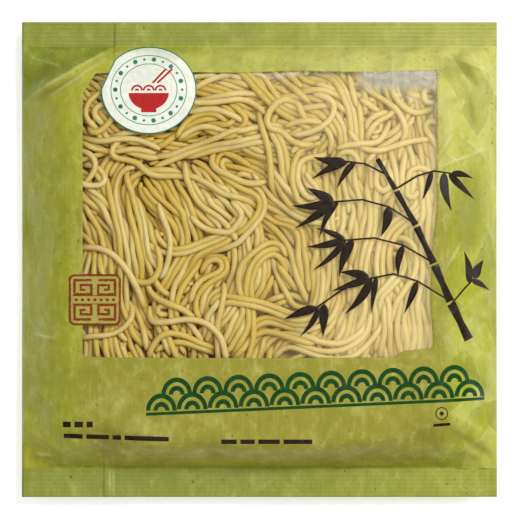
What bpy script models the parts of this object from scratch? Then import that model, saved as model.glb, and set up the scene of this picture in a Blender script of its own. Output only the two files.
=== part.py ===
"""A sealed pillow pack of fresh noodles, lying on its back.

One printed film is folded into a flat tube, joined by a fin seal down the back
and closed by a crimped seal at each end.  The block of noodles inside swells it
into a low pillow with a flat top, sloping sides and a sharp crease down each side.
A shut pack is one body, so the model is one closed solid: a front sheet and a back
sheet that meet at the side creases and run together through both seals.

X is the width, +Y points to the top seal and +Z is up, out of the front of the
pack.  The origin is under the middle of the pack, on the surface it lies on.
"""

import math

import bmesh
import bpy

MM = 0.001
PACK_NAME = "noodle_pack"

# Film pack, outside sizes.
WIDTH = 200 * MM
LENGTH = 200 * MM
FILM = 0.6 * MM
TOP_SEAL = 10.3 * MM
BOTTOM_SEAL = 12.2 * MM

# Heights of the front face and of the rim where the two sheets meet.  The front face
# is a little lower near its edges than in the middle.
FRONT_HEIGHT = 33.5 * MM
FRONT_DOME = 2.0 * MM
CREASE_HEIGHT = 8.0 * MM
SEAL_HEIGHT = 11.0 * MM

# How far in from each rim the front sheet needs to reach its full height.
LEFT_SLOPE = 25 * MM
RIGHT_SLOPE = 27 * MM
TOP_SLOPE = 22 * MM
BOTTOM_SLOPE = 12 * MM

# The block's outline isn't straight: each slope's width wanders by this much, in a
# long wave and a short one, and each side's waves start at another angle.
OUTLINE_WANDER = 2.2 * MM
OUTLINE_WAVE = 74 * MM
OUTLINE_SHORT_WAVE = 32 * MM
LEFT_START, RIGHT_START, TOP_START, BOTTOM_START = 0.4, 2.6, 1.9, 4.1

# How far in from each rim the back sheet comes down onto the table.
SIDE_LIFT = 28 * MM
TOP_LIFT = 17 * MM
BOTTOM_LIFT = 9 * MM

# Crimped seals: straight ribs across the pack, one height step each half pitch.
CRIMP_PITCH = 1.7 * MM
CRIMP_DEPTH = 0.22 * MM
SEAL_WAVE = 0.8 * MM
SEAL_WAVE_LENGTH = 130 * MM

# Tucks that the filled film makes in each seal: the film right of the tuck lies on
# the film left of it, and the doubled film is this wide.
TUCK_STEP = 0.5 * MM
TUCK_EDGE = 0.5 * MM
TUCK_WIDTH = 17 * MM
TUCK_REACH = 20 * MM
TOP_TUCK_X = -60.9 * MM
BOTTOM_TUCK_X = -65.3 * MM

# Fin seal down the middle of the back, pressed flat, with a slit under its free edge.
FIN_LEFT = -3 * MM
FIN_RIGHT = 9 * MM
FIN_SLIT = 0.35 * MM
FIN_SLIT_WIDTH = 3 * MM

# The noodles press low lumps into the front sheet, in rows that bend in slow waves.
LUMP_HEIGHT = 0.7 * MM
LUMP_ACROSS = 21 * MM
LUMP_ALONG = 25 * MM
LUMP_BEND = 1.5
LUMP_BEND_LENGTH = 60 * MM

# Soft folds in the front sheet: start, end, height at the middle and half width.
FOLDS = (
    ((-62 * MM, 88 * MM), (-99 * MM, 68 * MM), 1.6 * MM, 5 * MM),
    ((-66 * MM, 80 * MM), (-99 * MM, 50 * MM), -1.5 * MM, 5 * MM),
    ((78 * MM, 86 * MM), (98 * MM, 62 * MM), 1.2 * MM, 5 * MM),
    ((77 * MM, 55 * MM), (98 * MM, 38 * MM), 1.3 * MM, 6 * MM),
    ((78 * MM, -12 * MM), (97 * MM, -38 * MM), 1.2 * MM, 6 * MM),
    ((-78 * MM, -10 * MM), (-97 * MM, -34 * MM), 1.2 * MM, 6 * MM),
    ((-72 * MM, -82 * MM), (-98 * MM, -62 * MM), 1.4 * MM, 5 * MM),
    ((74 * MM, -84 * MM), (98 * MM, -66 * MM), 1.3 * MM, 5 * MM),
)

# Spacing of the sheet's lines over the body and over the slopes.
BODY_STEP = 7.5 * MM
SLOPE_STEP = 4.2 * MM

TOP_SEAL_Y = LENGTH / 2 - TOP_SEAL
BOTTOM_SEAL_Y = -LENGTH / 2 + BOTTOM_SEAL


def clamp(value):
    """Keep a value between 0 and 1."""
    return min(max(value, 0.0), 1.0)


def smooth(value):
    """Ease from 0 to 1, level at both ends."""
    t = clamp(value)
    return t * t * (3 - 2 * t)


def wander(along, start):
    """How much wider a slope is at one place along the block's edge."""
    long_wave = math.sin(2 * math.pi * along / OUTLINE_WAVE + start)
    short_wave = math.sin(2 * math.pi * along / OUTLINE_SHORT_WAVE)
    return OUTLINE_WANDER * (long_wave + short_wave / 2)


def front_fullness(x, y):
    """0 where the front sheet meets the rim, 1 where it lies on the noodles."""
    left = (x + WIDTH / 2) / (LEFT_SLOPE + wander(y, LEFT_START))
    right = (WIDTH / 2 - x) / (RIGHT_SLOPE + wander(y, RIGHT_START))
    top = (TOP_SEAL_Y - y) / (TOP_SLOPE + wander(x, TOP_START))
    bottom = (y - BOTTOM_SEAL_Y) / (BOTTOM_SLOPE + wander(x, BOTTOM_START) / 2)
    across = math.sin(clamp(min(left, right)) * math.pi / 2)
    along = math.sin(clamp(min(top, bottom)) * math.pi / 2)
    return across * along


def back_fullness(x, y):
    """0 where the back sheet meets the rim, 1 where it lies on the table."""
    across = clamp((WIDTH / 2 - abs(x)) / SIDE_LIFT)
    along = clamp(min((TOP_SEAL_Y - y) / TOP_LIFT, (y - BOTTOM_SEAL_Y) / BOTTOM_LIFT))
    rise_across = math.cos((1 - across) * math.pi / 2)
    rise_along = math.cos((1 - along) * math.pi / 2)
    return rise_across * rise_along


def in_seal(y):
    """Whether a line across the pack lies inside one of the end seals."""
    edge = CRIMP_PITCH / 4
    return y > TOP_SEAL_Y + edge or y < BOTTOM_SEAL_Y - edge


def crimp(y):
    """Zigzag of the seals' ribs, one rib line each half pitch in from the edge."""
    if not in_seal(y):
        return 0.0
    line = round((LENGTH / 2 - abs(y)) / (CRIMP_PITCH / 2))
    return CRIMP_DEPTH / 2 * (-1) ** line


def tuck(x, y):
    """Step where the film is doubled over itself next to each seal."""
    at_top = y > 0
    edge = TOP_TUCK_X if at_top else BOTTOM_TUCK_X
    inner = TOP_SEAL_Y if at_top else -BOTTOM_SEAL_Y
    fade = smooth(1 - (inner - abs(y)) / TUCK_REACH)
    if x < edge:
        return 0.0
    return TUCK_STEP * fade * smooth(1 - (x - edge) / TUCK_WIDTH)


def fold(x, y, start, end, height, half_width):
    """Height that one soft fold adds at a point of the front sheet."""
    run_x, run_y = end[0] - start[0], end[1] - start[1]
    run = math.hypot(run_x, run_y)
    along = ((x - start[0]) * run_x + (y - start[1]) * run_y) / run
    off = abs((x - start[0]) * run_y - (y - start[1]) * run_x) / run
    if not 0 < along < run:
        return 0.0
    return height * math.sin(math.pi * along / run) * smooth(1 - off / half_width)


def lumps(x, y):
    """Low uneven swelling of the front sheet over the noodles."""
    turn = 2 * math.pi
    bend_x = LUMP_BEND * math.cos(turn * y / LUMP_BEND_LENGTH)
    bend_y = LUMP_BEND * math.sin(turn * x / LUMP_BEND_LENGTH)
    across = math.sin(turn * x / LUMP_ACROSS + bend_x)
    along = math.cos(turn * y / LUMP_ALONG + bend_y)
    return LUMP_HEIGHT / 2 * across * along


def rim_height(x, y):
    """Height of the line where both sheets meet, higher at the seals than between."""
    near_seal = smooth(abs(y) / (LENGTH / 2))
    wave = SEAL_WAVE / 2 * math.sin(2 * math.pi * x / SEAL_WAVE_LENGTH)
    return CREASE_HEIGHT + near_seal * (SEAL_HEIGHT - CREASE_HEIGHT + wave)


def front_z(x, y):
    """Height of the front sheet's outer face."""
    rim = rim_height(x, y) + FILM / 2 + crimp(y) + tuck(x, y)
    full = front_fullness(x, y)
    dome = FRONT_DOME / 2 * ((2 * x / WIDTH) ** 2 + (2 * y / LENGTH) ** 2)
    folds = sum(fold(x, y, *one) for one in FOLDS)
    lift = FRONT_HEIGHT - dome - rim + lumps(x, y)
    return rim + lift * full + folds * smooth(2 * (1 - full))


def back_z(x, y):
    """Height of the back sheet's outer face, with the slit beside the fin seal."""
    rim = rim_height(x, y) - FILM / 2 + crimp(y)
    full = back_fullness(x, y)
    past_fin = x - FIN_RIGHT
    slit = 0.0
    if past_fin > 0:
        slit = FIN_SLIT * smooth(1 - past_fin / FIN_SLIT_WIDTH)
    return rim * (1 - full) + slit * full


def spaced(start, end, step):
    """Even lines from start up to, and not including, end, about one step apart."""
    count = max(1, round((end - start) / step))
    return [start + (end - start) * i / count for i in range(count)]


def lines_across():
    """X of every line down the pack, closer at the slopes, the tucks and the fin."""
    left, right = -WIDTH / 2, WIDTH / 2
    lines = spaced(left, left + LEFT_SLOPE, SLOPE_STEP)
    lines += spaced(left + LEFT_SLOPE, BOTTOM_TUCK_X - TUCK_EDGE, BODY_STEP)
    lines += [BOTTOM_TUCK_X - TUCK_EDGE, BOTTOM_TUCK_X]
    lines += [TOP_TUCK_X - TUCK_EDGE, TOP_TUCK_X]
    lines += spaced(TOP_TUCK_X + SLOPE_STEP, FIN_LEFT, BODY_STEP)
    lines += spaced(FIN_LEFT, FIN_RIGHT, BODY_STEP)
    lines += [FIN_RIGHT, FIN_RIGHT + TUCK_EDGE]
    lines += spaced(FIN_RIGHT + FIN_SLIT_WIDTH, right - RIGHT_SLOPE, BODY_STEP)
    lines += spaced(right - RIGHT_SLOPE, right, SLOPE_STEP)
    return lines + [right]


def lines_along():
    """Y of every line across the pack, one each half pitch in the crimped seals."""
    bottom, top = -LENGTH / 2, LENGTH / 2
    lines = spaced(bottom, BOTTOM_SEAL_Y, CRIMP_PITCH / 2)
    lines += spaced(BOTTOM_SEAL_Y, BOTTOM_SEAL_Y + BOTTOM_SLOPE, SLOPE_STEP / 2)
    lines += spaced(BOTTOM_SEAL_Y + BOTTOM_SLOPE, TOP_SEAL_Y - TOP_SLOPE, BODY_STEP)
    lines += spaced(TOP_SEAL_Y - TOP_SLOPE, TOP_SEAL_Y, SLOPE_STEP)
    lines += spaced(TOP_SEAL_Y, top, CRIMP_PITCH / 2)
    return lines + [top]


def printed_film():
    """Satin green printed plastic film."""
    material = bpy.data.materials.new("printed_film")
    material.use_nodes = True
    surface = material.node_tree.nodes["Principled BSDF"]
    surface.inputs["Base Color"].default_value = (0.31, 0.31, 0.06, 1.0)
    surface.inputs["Roughness"].default_value = 0.35
    surface.inputs["Metallic"].default_value = 0.0
    return material


def pack_mesh(name):
    """Two sheets made from one grid, joined by a narrow wall all round the rim."""
    xs = lines_across()
    ys = lines_along()
    columns, rows = len(xs) - 1, len(ys) - 1
    bm = bmesh.new()
    bmesh.ops.create_grid(bm, x_segments=columns, y_segments=rows, size=1.0)
    back = list(bm.verts)
    grown = bmesh.ops.extrude_face_region(
        bm, geom=bm.verts[:] + bm.edges[:] + bm.faces[:], use_keep_orig=True
    )
    front = [piece for piece in grown["geom"] if isinstance(piece, bmesh.types.BMVert)]
    for sheet, height in ((back, back_z), (front, front_z)):
        for vert in sheet:
            x = xs[round((vert.co.x + 1) / 2 * columns)]
            y = ys[round((vert.co.y + 1) / 2 * rows)]
            vert.co = (x, y, height(x, y))
    bmesh.ops.recalc_face_normals(bm, faces=bm.faces[:])
    mesh = bpy.data.meshes.new(name)
    bm.to_mesh(mesh)
    bm.free()
    mesh.shade_smooth()
    mesh.set_sharp_from_angle(angle=math.radians(50))
    return mesh


def main():
    """Clear the scene and build the pack in its own collection."""
    for old in list(bpy.data.objects):
        bpy.data.objects.remove(old, do_unlink=True)
    collection = bpy.data.collections.new(PACK_NAME)
    bpy.context.scene.collection.children.link(collection)
    pack = bpy.data.objects.new(PACK_NAME, pack_mesh(PACK_NAME))
    pack.data.materials.append(printed_film())
    collection.objects.link(pack)


main()
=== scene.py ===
"""The looks of a sealed pillow pack of fresh yakisoba noodles, seen from above.

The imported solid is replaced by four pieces: the printed film, the clear window in its
front, the strands of noodles that show through it and the core of the block below them.
Lengths are in metres.
"""

import math

import bpy
import numpy as np
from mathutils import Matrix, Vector, geometry


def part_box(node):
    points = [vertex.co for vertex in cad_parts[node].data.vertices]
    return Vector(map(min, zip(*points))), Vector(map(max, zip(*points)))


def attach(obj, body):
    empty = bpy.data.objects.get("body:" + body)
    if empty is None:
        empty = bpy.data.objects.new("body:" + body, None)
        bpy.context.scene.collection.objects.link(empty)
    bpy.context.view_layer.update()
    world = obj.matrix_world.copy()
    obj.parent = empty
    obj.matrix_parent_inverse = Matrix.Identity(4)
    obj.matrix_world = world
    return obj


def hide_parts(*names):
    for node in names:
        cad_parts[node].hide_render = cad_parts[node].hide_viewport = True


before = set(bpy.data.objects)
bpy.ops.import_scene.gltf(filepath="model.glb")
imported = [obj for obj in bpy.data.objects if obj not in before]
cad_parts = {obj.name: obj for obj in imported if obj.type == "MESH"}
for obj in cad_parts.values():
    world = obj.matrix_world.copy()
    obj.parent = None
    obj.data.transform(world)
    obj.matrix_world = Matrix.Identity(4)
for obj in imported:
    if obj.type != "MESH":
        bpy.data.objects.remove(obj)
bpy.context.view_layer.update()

PACK = "noodle_pack"
LOW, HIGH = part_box(PACK)
MM = 0.001
SEED = 7

# ---------------------------------------------------------------- the film's form

LEFT, RIGHT = LOW.x, HIGH.x
BOTTOM, TOP = LOW.y, HIGH.y
WIDTH, LENGTH = RIGHT - LEFT, TOP - BOTTOM
FRONT_HEIGHT = HIGH.z - 0.3 * MM
FRONT_DOME = 2.0 * MM
CREASE_HEIGHT = 8.0 * MM
SEAL_HEIGHT = 11.0 * MM
SEAL_WAVE = 0.8 * MM
SEAL_WAVE_LENGTH = 130 * MM
TOP_SEAL_Y = TOP - 10.3 * MM
BOTTOM_SEAL_Y = BOTTOM + 12.2 * MM
LEFT_SLOPE, RIGHT_SLOPE = 25 * MM, 27 * MM
TOP_SLOPE, BOTTOM_SLOPE, CORNER_SLOPE = 22 * MM, 12 * MM, 12 * MM
SIDE_LIFT, TOP_LIFT, BOTTOM_LIFT = 28 * MM, 17 * MM, 9 * MM
OUTLINE_WANDER = 2.2 * MM
OUTLINE_WAVE, OUTLINE_SHORT_WAVE = 74 * MM, 32 * MM
LEFT_START, RIGHT_START, TOP_START, BOTTOM_START = 0.4, 2.6, 1.9, 4.1

CRIMP_PITCH = 1.7 * MM
CRIMP_DEPTH = 0.27 * MM
FOOT_PRESS = 0.35
TUCK_STEP = 0.55 * MM
TUCK_EDGE = 0.18 * MM
TUCK_WIDTH = 17 * MM
TUCK_REACH = 15 * MM
TOP_TUCK_X, BOTTOM_TUCK_X = -60.9 * MM, -65.3 * MM

SEAL_THICKNESS = 0.3 * MM
FILM = 0.14 * MM
CAVITY_SIDE = 1.4 * MM
CAVITY_END = 0.4 * MM

FIN_LEFT, FIN_RIGHT = -3 * MM, 9 * MM
FIN_THICKNESS = 0.25 * MM

# Creases of the front film: start x, y, end x, y, height and half width, in mm.
CREASES = (
    (-97.0, 68.3, -62.0, 89.2, 2.2, 3.6),
    (-99.5, 74.0, -74.0, 87.0, -1.9, 5.0),
    (-90.0, 67.0, -64.0, 84.5, 0.7, 2.8),
    (-97.0, 65.5, -72.0, 79.0, -1.0, 3.6),
    (-97.0, 85.5, -82.0, 80.5, 0.7, 2.4),
    (89.0, 87.5, 98.5, 71.0, 0.9, 2.4),
    (78.5, 88.0, 89.0, 72.0, 0.7, 2.6),
    (80.0, 87.0, 93.0, 72.0, -1.0, 4.6),
    (88.0, 70.0, 90.0, 54.0, -0.9, 4.0),
    (76.5, 86.5, 75.0, 63.0, 0.4, 1.6),
    (74.5, 43.0, 82.0, 54.0, 0.9, 2.0),
    (82.0, 54.0, 95.0, 43.0, 0.7, 1.9),
    (75.0, 38.5, 96.0, 47.0, 0.9, 2.0),
    (89.0, 42.0, 86.0, 0.0, -1.4, 13.0),
    (76.0, -8.0, 85.0, 8.0, 0.6, 2.2),
    (77.0, -16.0, 92.0, -38.0, 0.4, 2.2),
    (82.0, -42.0, 98.0, -56.0, -1.0, 6.0),
    (-95.5, -31.0, -84.5, -33.5, 0.9, 2.4),
    (-98.0, -24.0, -88.0, -36.0, 0.3, 2.4),
    (-95.0, -81.5, -86.0, -82.5, 1.0, 2.4),
    (-99.0, -70.0, -80.0, -82.0, 0.3, 2.8),
    (-61.4, -88.0, -61.4, -99.6, 1.0, 1.6),
    (-63.0, -88.0, -63.0, -99.6, 1.0, 1.6),
    (77.0, -69.0, 99.0, -83.5, -1.1, 4.0),
    (80.0, -64.0, 98.0, -74.0, 0.3, 2.6),
    (34.0, 89.0, 35.0, 72.0, 0.35, 1.6),
    (44.0, 89.0, 44.5, 70.0, 0.40, 1.6),
    (55.5, 89.0, 56.0, 66.0, 0.50, 1.5),
    (68.0, 88.0, 67.0, 70.0, 0.35, 1.6),
    (-8.0, 89.0, -5.0, 76.0, 0.25, 1.6),
    (-20.0, 89.0, -22.0, 78.0, 0.2, 1.6),
)

FOLD_HIGHLIGHT_WIDTH = 1.0  # half width of the painted highlight line on a crease, in mm

# Crumpled facets of the loose film: size and slope of each of its layers.
FACETS = ((22 * MM, 0.30), (11 * MM, 0.20), (4.6 * MM, 0.07))
BACK_CRUMPLE = 0.6


def smooth(value):
    """Ease from 0 to 1, level at both ends."""
    t = np.clip(value, 0.0, 1.0)
    return t * t * (3 - 2 * t)


def wander(along, start):
    """How much wider a slope is at one place along the block's edge."""
    long_wave = np.sin(2 * math.pi * along / OUTLINE_WAVE + start)
    short_wave = np.sin(2 * math.pi * along / OUTLINE_SHORT_WAVE)
    return OUTLINE_WANDER * (long_wave + short_wave / 2)


def front_fullness(x, y):
    """0 where the front film meets the rim, 1 where it lies on the noodles."""
    left = (x - LEFT) / (LEFT_SLOPE + wander(y, LEFT_START))
    right = (RIGHT - x) / (RIGHT_SLOPE + wander(y, RIGHT_START))
    top = (TOP_SEAL_Y - y) / (TOP_SLOPE + wander(x, TOP_START))
    corner = CORNER_SLOPE * smooth((np.abs(x) - 42 * MM) / (28 * MM))
    bottom = (y - BOTTOM_SEAL_Y) / (BOTTOM_SLOPE + corner + wander(x, BOTTOM_START) / 2)
    across = np.sin(np.clip(np.minimum(left, right), 0, 1) * math.pi / 2)
    along = np.sin(np.clip(np.minimum(top, bottom), 0, 1) * math.pi / 2)
    return across * along


def back_fullness(x, y):
    """0 where the back film meets the rim, 1 where it lies on the table."""
    across = np.clip((WIDTH / 2 - np.abs(x)) / SIDE_LIFT, 0, 1)
    along = np.minimum((TOP_SEAL_Y - y) / TOP_LIFT, (y - BOTTOM_SEAL_Y) / BOTTOM_LIFT)
    rise_across = np.cos((1 - across) * math.pi / 2)
    return rise_across * np.cos((1 - np.clip(along, 0, 1)) * math.pi / 2)


def rim_height(x, y):
    """Height of the line where both films meet, higher at the seals than between."""
    near_seal = smooth(np.abs(y) / (LENGTH / 2))
    wave = SEAL_WAVE / 2 * np.sin(2 * math.pi * x / SEAL_WAVE_LENGTH)
    return CREASE_HEIGHT + near_seal * (SEAL_HEIGHT - CREASE_HEIGHT + wave)


def in_seal(y):
    """1 inside the two seals, 0 between them."""
    return np.where((y > TOP_SEAL_Y) | (y < BOTTOM_SEAL_Y), 1.0, 0.0)


def crimp(x, y):
    """Ribs across the seals, fainter at the foot, pressed less evenly in some places."""
    ribs = np.cos(2 * math.pi * (LENGTH / 2 - np.abs(y)) / CRIMP_PITCH)
    uneven = np.sin(x / (13 * MM) + 2 * np.sin(y / (2.2 * MM))) + np.sin(x / (5 * MM) - 0.5)
    press = np.where(y > 0, 1 + 0.8 * smooth((TOP_TUCK_X - x) / (4 * MM)), FOOT_PRESS)
    press = press * (1 + 0.22 * uneven)
    return -CRIMP_DEPTH / 2 * ribs * press * in_seal(y)


def tuck(x, y):
    """Step where the film is doubled over itself next to each seal."""
    edge = np.where(y > 0, TOP_TUCK_X, BOTTOM_TUCK_X)
    inner = np.where(y > 0, TOP_SEAL_Y, -BOTTOM_SEAL_Y)
    fade = smooth(1 - (inner - np.abs(y)) / TUCK_REACH)
    rise = smooth((x - edge + TUCK_EDGE) / TUCK_EDGE)
    return TUCK_STEP * fade * rise * smooth(1 - (x - edge) / TUCK_WIDTH)


def crease(x, y, x0, y0, x1, y1, height, half_width):
    """A sharp-topped fold between two points, dying out at both ends."""
    run_x, run_y = (x1 - x0) * MM, (y1 - y0) * MM
    run = math.hypot(run_x, run_y)
    along = ((x - x0 * MM) * run_x + (y - y0 * MM) * run_y) / run / run
    off = np.abs((x - x0 * MM) * run_y - (y - y0 * MM) * run_x) / run
    inside = np.clip(along, 0, 1)
    crest = np.clip(1 - off / (half_width * MM), 0, 1) ** 1.4
    return height * MM * np.sin(math.pi * inside) ** 0.7 * crest


def painted_fold_highlight(x, y):
    """How far a painted highlight lies along the crests of the creases, from 0 to 1."""
    marks = [crease(x, y, *ends, min(height, 1), FOLD_HIGHLIGHT_WIDTH) for *ends, height, _ in CREASES]
    return np.clip(np.max(marks, axis=0) / MM, 0, 1)


def hollow_mark(x, y):
    """How far the film lies in the shade of a fold, from 0 to 1."""
    marks = [-crease(x, y, *one) for one in CREASES if one[4] < 0]
    return smooth(np.max(marks, axis=0) / MM)


def facets(x, y, size, slope, seed):
    """Shallow pyramids turned at random, with straight sharp ridges where they meet."""
    rng = np.random.default_rng(seed)
    many = int(LENGTH / size) + 6
    shift_x, shift_y = rng.uniform(0.1, 0.9, (2, many, many))
    turn = rng.uniform(0, math.pi / 2, (many, many))
    column = np.clip(np.floor((x - LEFT) / size), 0, many - 5).astype(int) + 2
    row = np.clip(np.floor((y - BOTTOM) / size), 0, many - 5).astype(int) + 2
    lowest = np.full(np.shape(x), size)
    for i in (-1, 0, 1):
        for j in (-1, 0, 1):
            cell = column + i, row + j
            away_x = x - LEFT - (cell[0] - 2 + shift_x[cell]) * size
            away_y = y - BOTTOM - (cell[1] - 2 + shift_y[cell]) * size
            u = away_x * np.cos(turn[cell]) + away_y * np.sin(turn[cell])
            v = away_y * np.cos(turn[cell]) - away_x * np.sin(turn[cell])
            lowest = np.minimum(lowest, np.maximum(np.abs(u), np.abs(v)))
    return slope * (lowest - 0.3 * size)


def crumple(x, y):
    """All layers of facets."""
    return sum(facets(x, y, size, slope, SEED + k) for k, (size, slope) in enumerate(FACETS))


def small_folds():
    """Short folds that run from the seals and from the side edges into the loose film."""
    rng = np.random.default_rng(SEED + 9)
    folds = []
    for start, way, count in ((TOP_SEAL_Y, -1, 26), (BOTTOM_SEAL_Y, 1, 22)):
        for x in np.linspace(-93, 93, count) + rng.uniform(-3, 3, count):
            reach, lean = rng.uniform(7, 17), rng.uniform(-4, 4)
            height = rng.uniform(0.15, 0.5) * rng.choice((1, 1, -0.8))
            ends = (x, start / MM, x + lean, start / MM + way * reach)
            folds.append((*ends, height, rng.uniform(1.2, 2.6)))
    for start, way, count in ((LEFT, 1, 13), (RIGHT, -1, 15)):
        for y in np.linspace(-78, 80, count) + rng.uniform(-4, 4, count):
            reach, lean = rng.uniform(10, 22), rng.uniform(-11, 11)
            height = rng.uniform(0.3, 1.0) * rng.choice((1, -1))
            ends = (start / MM + way, y, start / MM + way * reach, y + lean)
            folds.append((*ends, height, rng.uniform(2.0, 3.6)))
    return tuple(folds)


SMALL_FOLDS = small_folds()


def base_front(x, y):
    """The front film's height without its creases."""
    rim = rim_height(x, y) + SEAL_THICKNESS / 2
    full = front_fullness(x, y)
    dome = FRONT_DOME / 2 * ((2 * x / WIDTH) ** 2 + (2 * y / LENGTH) ** 2)
    return rim + (FRONT_HEIGHT - dome - rim) * full


def front_height(x, y):
    """Height of the front film's outer face."""
    full = front_fullness(x, y)
    rim_fade = smooth((WIDTH / 2 - np.abs(x)) / (5 * MM))
    seal_fade = smooth(np.minimum(TOP_SEAL_Y - y, y - BOTTOM_SEAL_Y) / (3 * MM))
    loose = (0.05 + 0.95 * smooth(1.7 * (1 - full))) * rim_fade * seal_fade
    creases = sum(crease(x, y, *one) for one in CREASES + SMALL_FOLDS) * rim_fade * seal_fade
    height = base_front(x, y) + crimp(x, y) + tuck(x, y)
    return height + creases + crumple(x, y) * loose


def back_height(x, y):
    """Height of the back film's outer face, with the fin seal as its lowest strip."""
    rim = rim_height(x, y) - SEAL_THICKNESS / 2
    full = back_fullness(x, y)
    past_fin = np.maximum(FIN_LEFT - x, x - FIN_RIGHT)
    above_fin = FIN_THICKNESS * smooth(past_fin / (0.6 * MM))
    rim_fade = smooth((WIDTH / 2 - np.abs(x)) / (5 * MM))
    seal_fade = smooth(np.minimum(TOP_SEAL_Y - y, y - BOTTOM_SEAL_Y) / (3 * MM))
    loose = BACK_CRUMPLE * (1 - full) * rim_fade * seal_fade
    return rim * (1 - full) + above_fin * full + crimp(x, y) + crumple(-x, y) * loose


BLOCK_CENTRE = (2 * MM, -5 * MM)
BLOCK_HALF = (81 * MM, 83 * MM)
BLOCK_CORNER = 16 * MM


def touching(x, y):
    """1 where the film lies on the noodles, 0 where it is loose: a block with round corners."""
    across = np.abs(x - BLOCK_CENTRE[0]) - BLOCK_HALF[0] + BLOCK_CORNER
    along = np.abs(y - BLOCK_CENTRE[1]) - BLOCK_HALF[1] + BLOCK_CORNER
    corner = np.hypot(np.maximum(across, 0), np.maximum(along, 0))
    outside = corner + np.minimum(np.maximum(across, along), 0) - BLOCK_CORNER
    return smooth((wander(x + y, LEFT_START) / 2 - outside) / (7 * MM))


# ---------------------------------------------------------------- mesh helpers


def make_piece(name, points, faces, materials, slots=None, shade=True):
    """A mesh object from points in metres and faces of point numbers."""
    mesh = bpy.data.meshes.new(name)
    mesh.from_pydata([tuple(p) for p in points], [], [tuple(int(i) for i in f) for f in faces])
    for material in materials:
        mesh.materials.append(material)
    if slots is not None:
        mesh.polygons.foreach_set("material_index", np.asarray(slots, dtype=np.int32))
    if shade:
        mesh.shade_smooth()
    mesh.validate()
    mesh.update()
    piece = bpy.data.objects.new(name, mesh)
    bpy.context.scene.collection.objects.link(piece)
    return piece


def add_values(piece, name, values):
    """A value for each point of a piece, for its material to read."""
    attribute = piece.data.attributes.new(name, "FLOAT", "POINT")
    attribute.data.foreach_set("value", np.asarray(values, dtype=np.float32))


def free_edges(faces):
    """Directed edges of a set of triangles that no other triangle of it shares."""
    loops = np.vstack([faces[:, (0, 1)], faces[:, (1, 2)], faces[:, (2, 0)]])
    many = int(faces.max()) + 1
    forward = loops[:, 0] * many + loops[:, 1]
    backward = loops[:, 1] * many + loops[:, 0]
    return loops[~np.isin(forward, backward)]


def walls(edges, upper, lower):
    """Quads that join the same edges of an upper and a lower sheet, facing out."""
    a, b = edges[:, 0], edges[:, 1]
    return np.column_stack([lower[a], lower[b], upper[b], upper[a]])


# ---------------------------------------------------------------- print on the film

WINDOW_LEFT, WINDOW_RIGHT = -73.9 * MM, 74.2 * MM
WINDOW_TOP, WINDOW_BOTTOM = 79.0 * MM, -40.5 * MM
STAMP_BOX = (-79.8 * MM, -27.6 * MM, -57.9 * MM, -6.1 * MM)
STAMP_ROUGH = 0.09 * MM
BADGE_CENTRE = (-46.3 * MM, 71.0 * MM)
BADGE_RADIUS = (20.0 * MM, 18.6 * MM)
BADGE_CUT = ((-59.6 * MM, 86.5 * MM), (-66.4 * MM, 71.0 * MM))


def rounded(x0, y0, x1, y1, radius, per_corner=6):
    """A rounded rectangle's outline, anticlockwise."""
    corners = ((x1, y0, -90), (x1, y1, 0), (x0, y1, 90), (x0, y0, 180))
    outline = []
    for x, y, start in corners:
        centre_x = x - math.copysign(radius, x - (x0 + x1) / 2)
        centre_y = y - math.copysign(radius, y - (y0 + y1) / 2)
        for step in range(per_corner + 1):
            angle = math.radians(start + 90 * step / per_corner)
            outline.append((centre_x + radius * math.cos(angle), centre_y + radius * math.sin(angle)))
    return outline


def oval(centre, radius_x, radius_y, count=48):
    """An ellipse's outline."""
    angles = [2 * math.pi * i / count for i in range(count)]
    return [(centre[0] + radius_x * math.cos(a), centre[1] + radius_y * math.sin(a)) for a in angles]


def stroke(points, width):
    """Outline of an even stroke along a chain of points, with square mitred turns."""
    line = np.asarray(points, float)
    way = np.diff(line, axis=0)
    way /= np.linalg.norm(way, axis=1)[:, None]
    normal = np.column_stack([-way[:, 1], way[:, 0]])
    before = np.vstack([normal[:1], normal])
    after = np.vstack([normal, normal[-1:]])
    mitre = before + after
    mitre /= (mitre * after).sum(axis=1)[:, None]
    side = mitre * width / 2
    return [tuple(p) for p in line + side] + [tuple(p) for p in (line - side)[::-1]]


def leaf(tip_x, tip_y, angle, length, width, bend=0.12):
    """A pointed leaf from its stalk, widest a third of the way along."""
    upper, lower = [], []
    for step in range(15):
        t = step / 14
        half = width / 2 * (math.sin(math.pi * t ** 0.62)) * (1 - 0.25 * t)
        arc = bend * length * math.sin(math.pi * t)
        upper.append((t * length, arc + half))
        lower.append((t * length, arc - half))
    turn = (math.cos(angle), math.sin(angle))
    outline = lower + upper[-2:0:-1]
    return [
        (tip_x + u * turn[0] - v * turn[1], tip_y + u * turn[1] + v * turn[0]) for u, v in outline
    ]


def window_outline():
    """The window: its top left corner is cut, and a fold pulls up its lower right corner."""
    corners = [
        (WINDOW_LEFT, WINDOW_BOTTOM), (57 * MM, WINDOW_BOTTOM), (59.5 * MM, WINDOW_BOTTOM + 2 * MM),
        (WINDOW_RIGHT - 1.6 * MM, WINDOW_BOTTOM + 3.6 * MM), (WINDOW_RIGHT - 2.8 * MM, -12 * MM),
        (WINDOW_RIGHT - 2.2 * MM, 2 * MM), (WINDOW_RIGHT, 22 * MM), (WINDOW_RIGHT, WINDOW_TOP),
        (-68.6 * MM, WINDOW_TOP - 0.8 * MM), (WINDOW_LEFT, 69.3 * MM),
    ]
    return densify(soft_corners(corners, 1.2 * MM), 2 * MM, sag=0.7 * MM)


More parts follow.
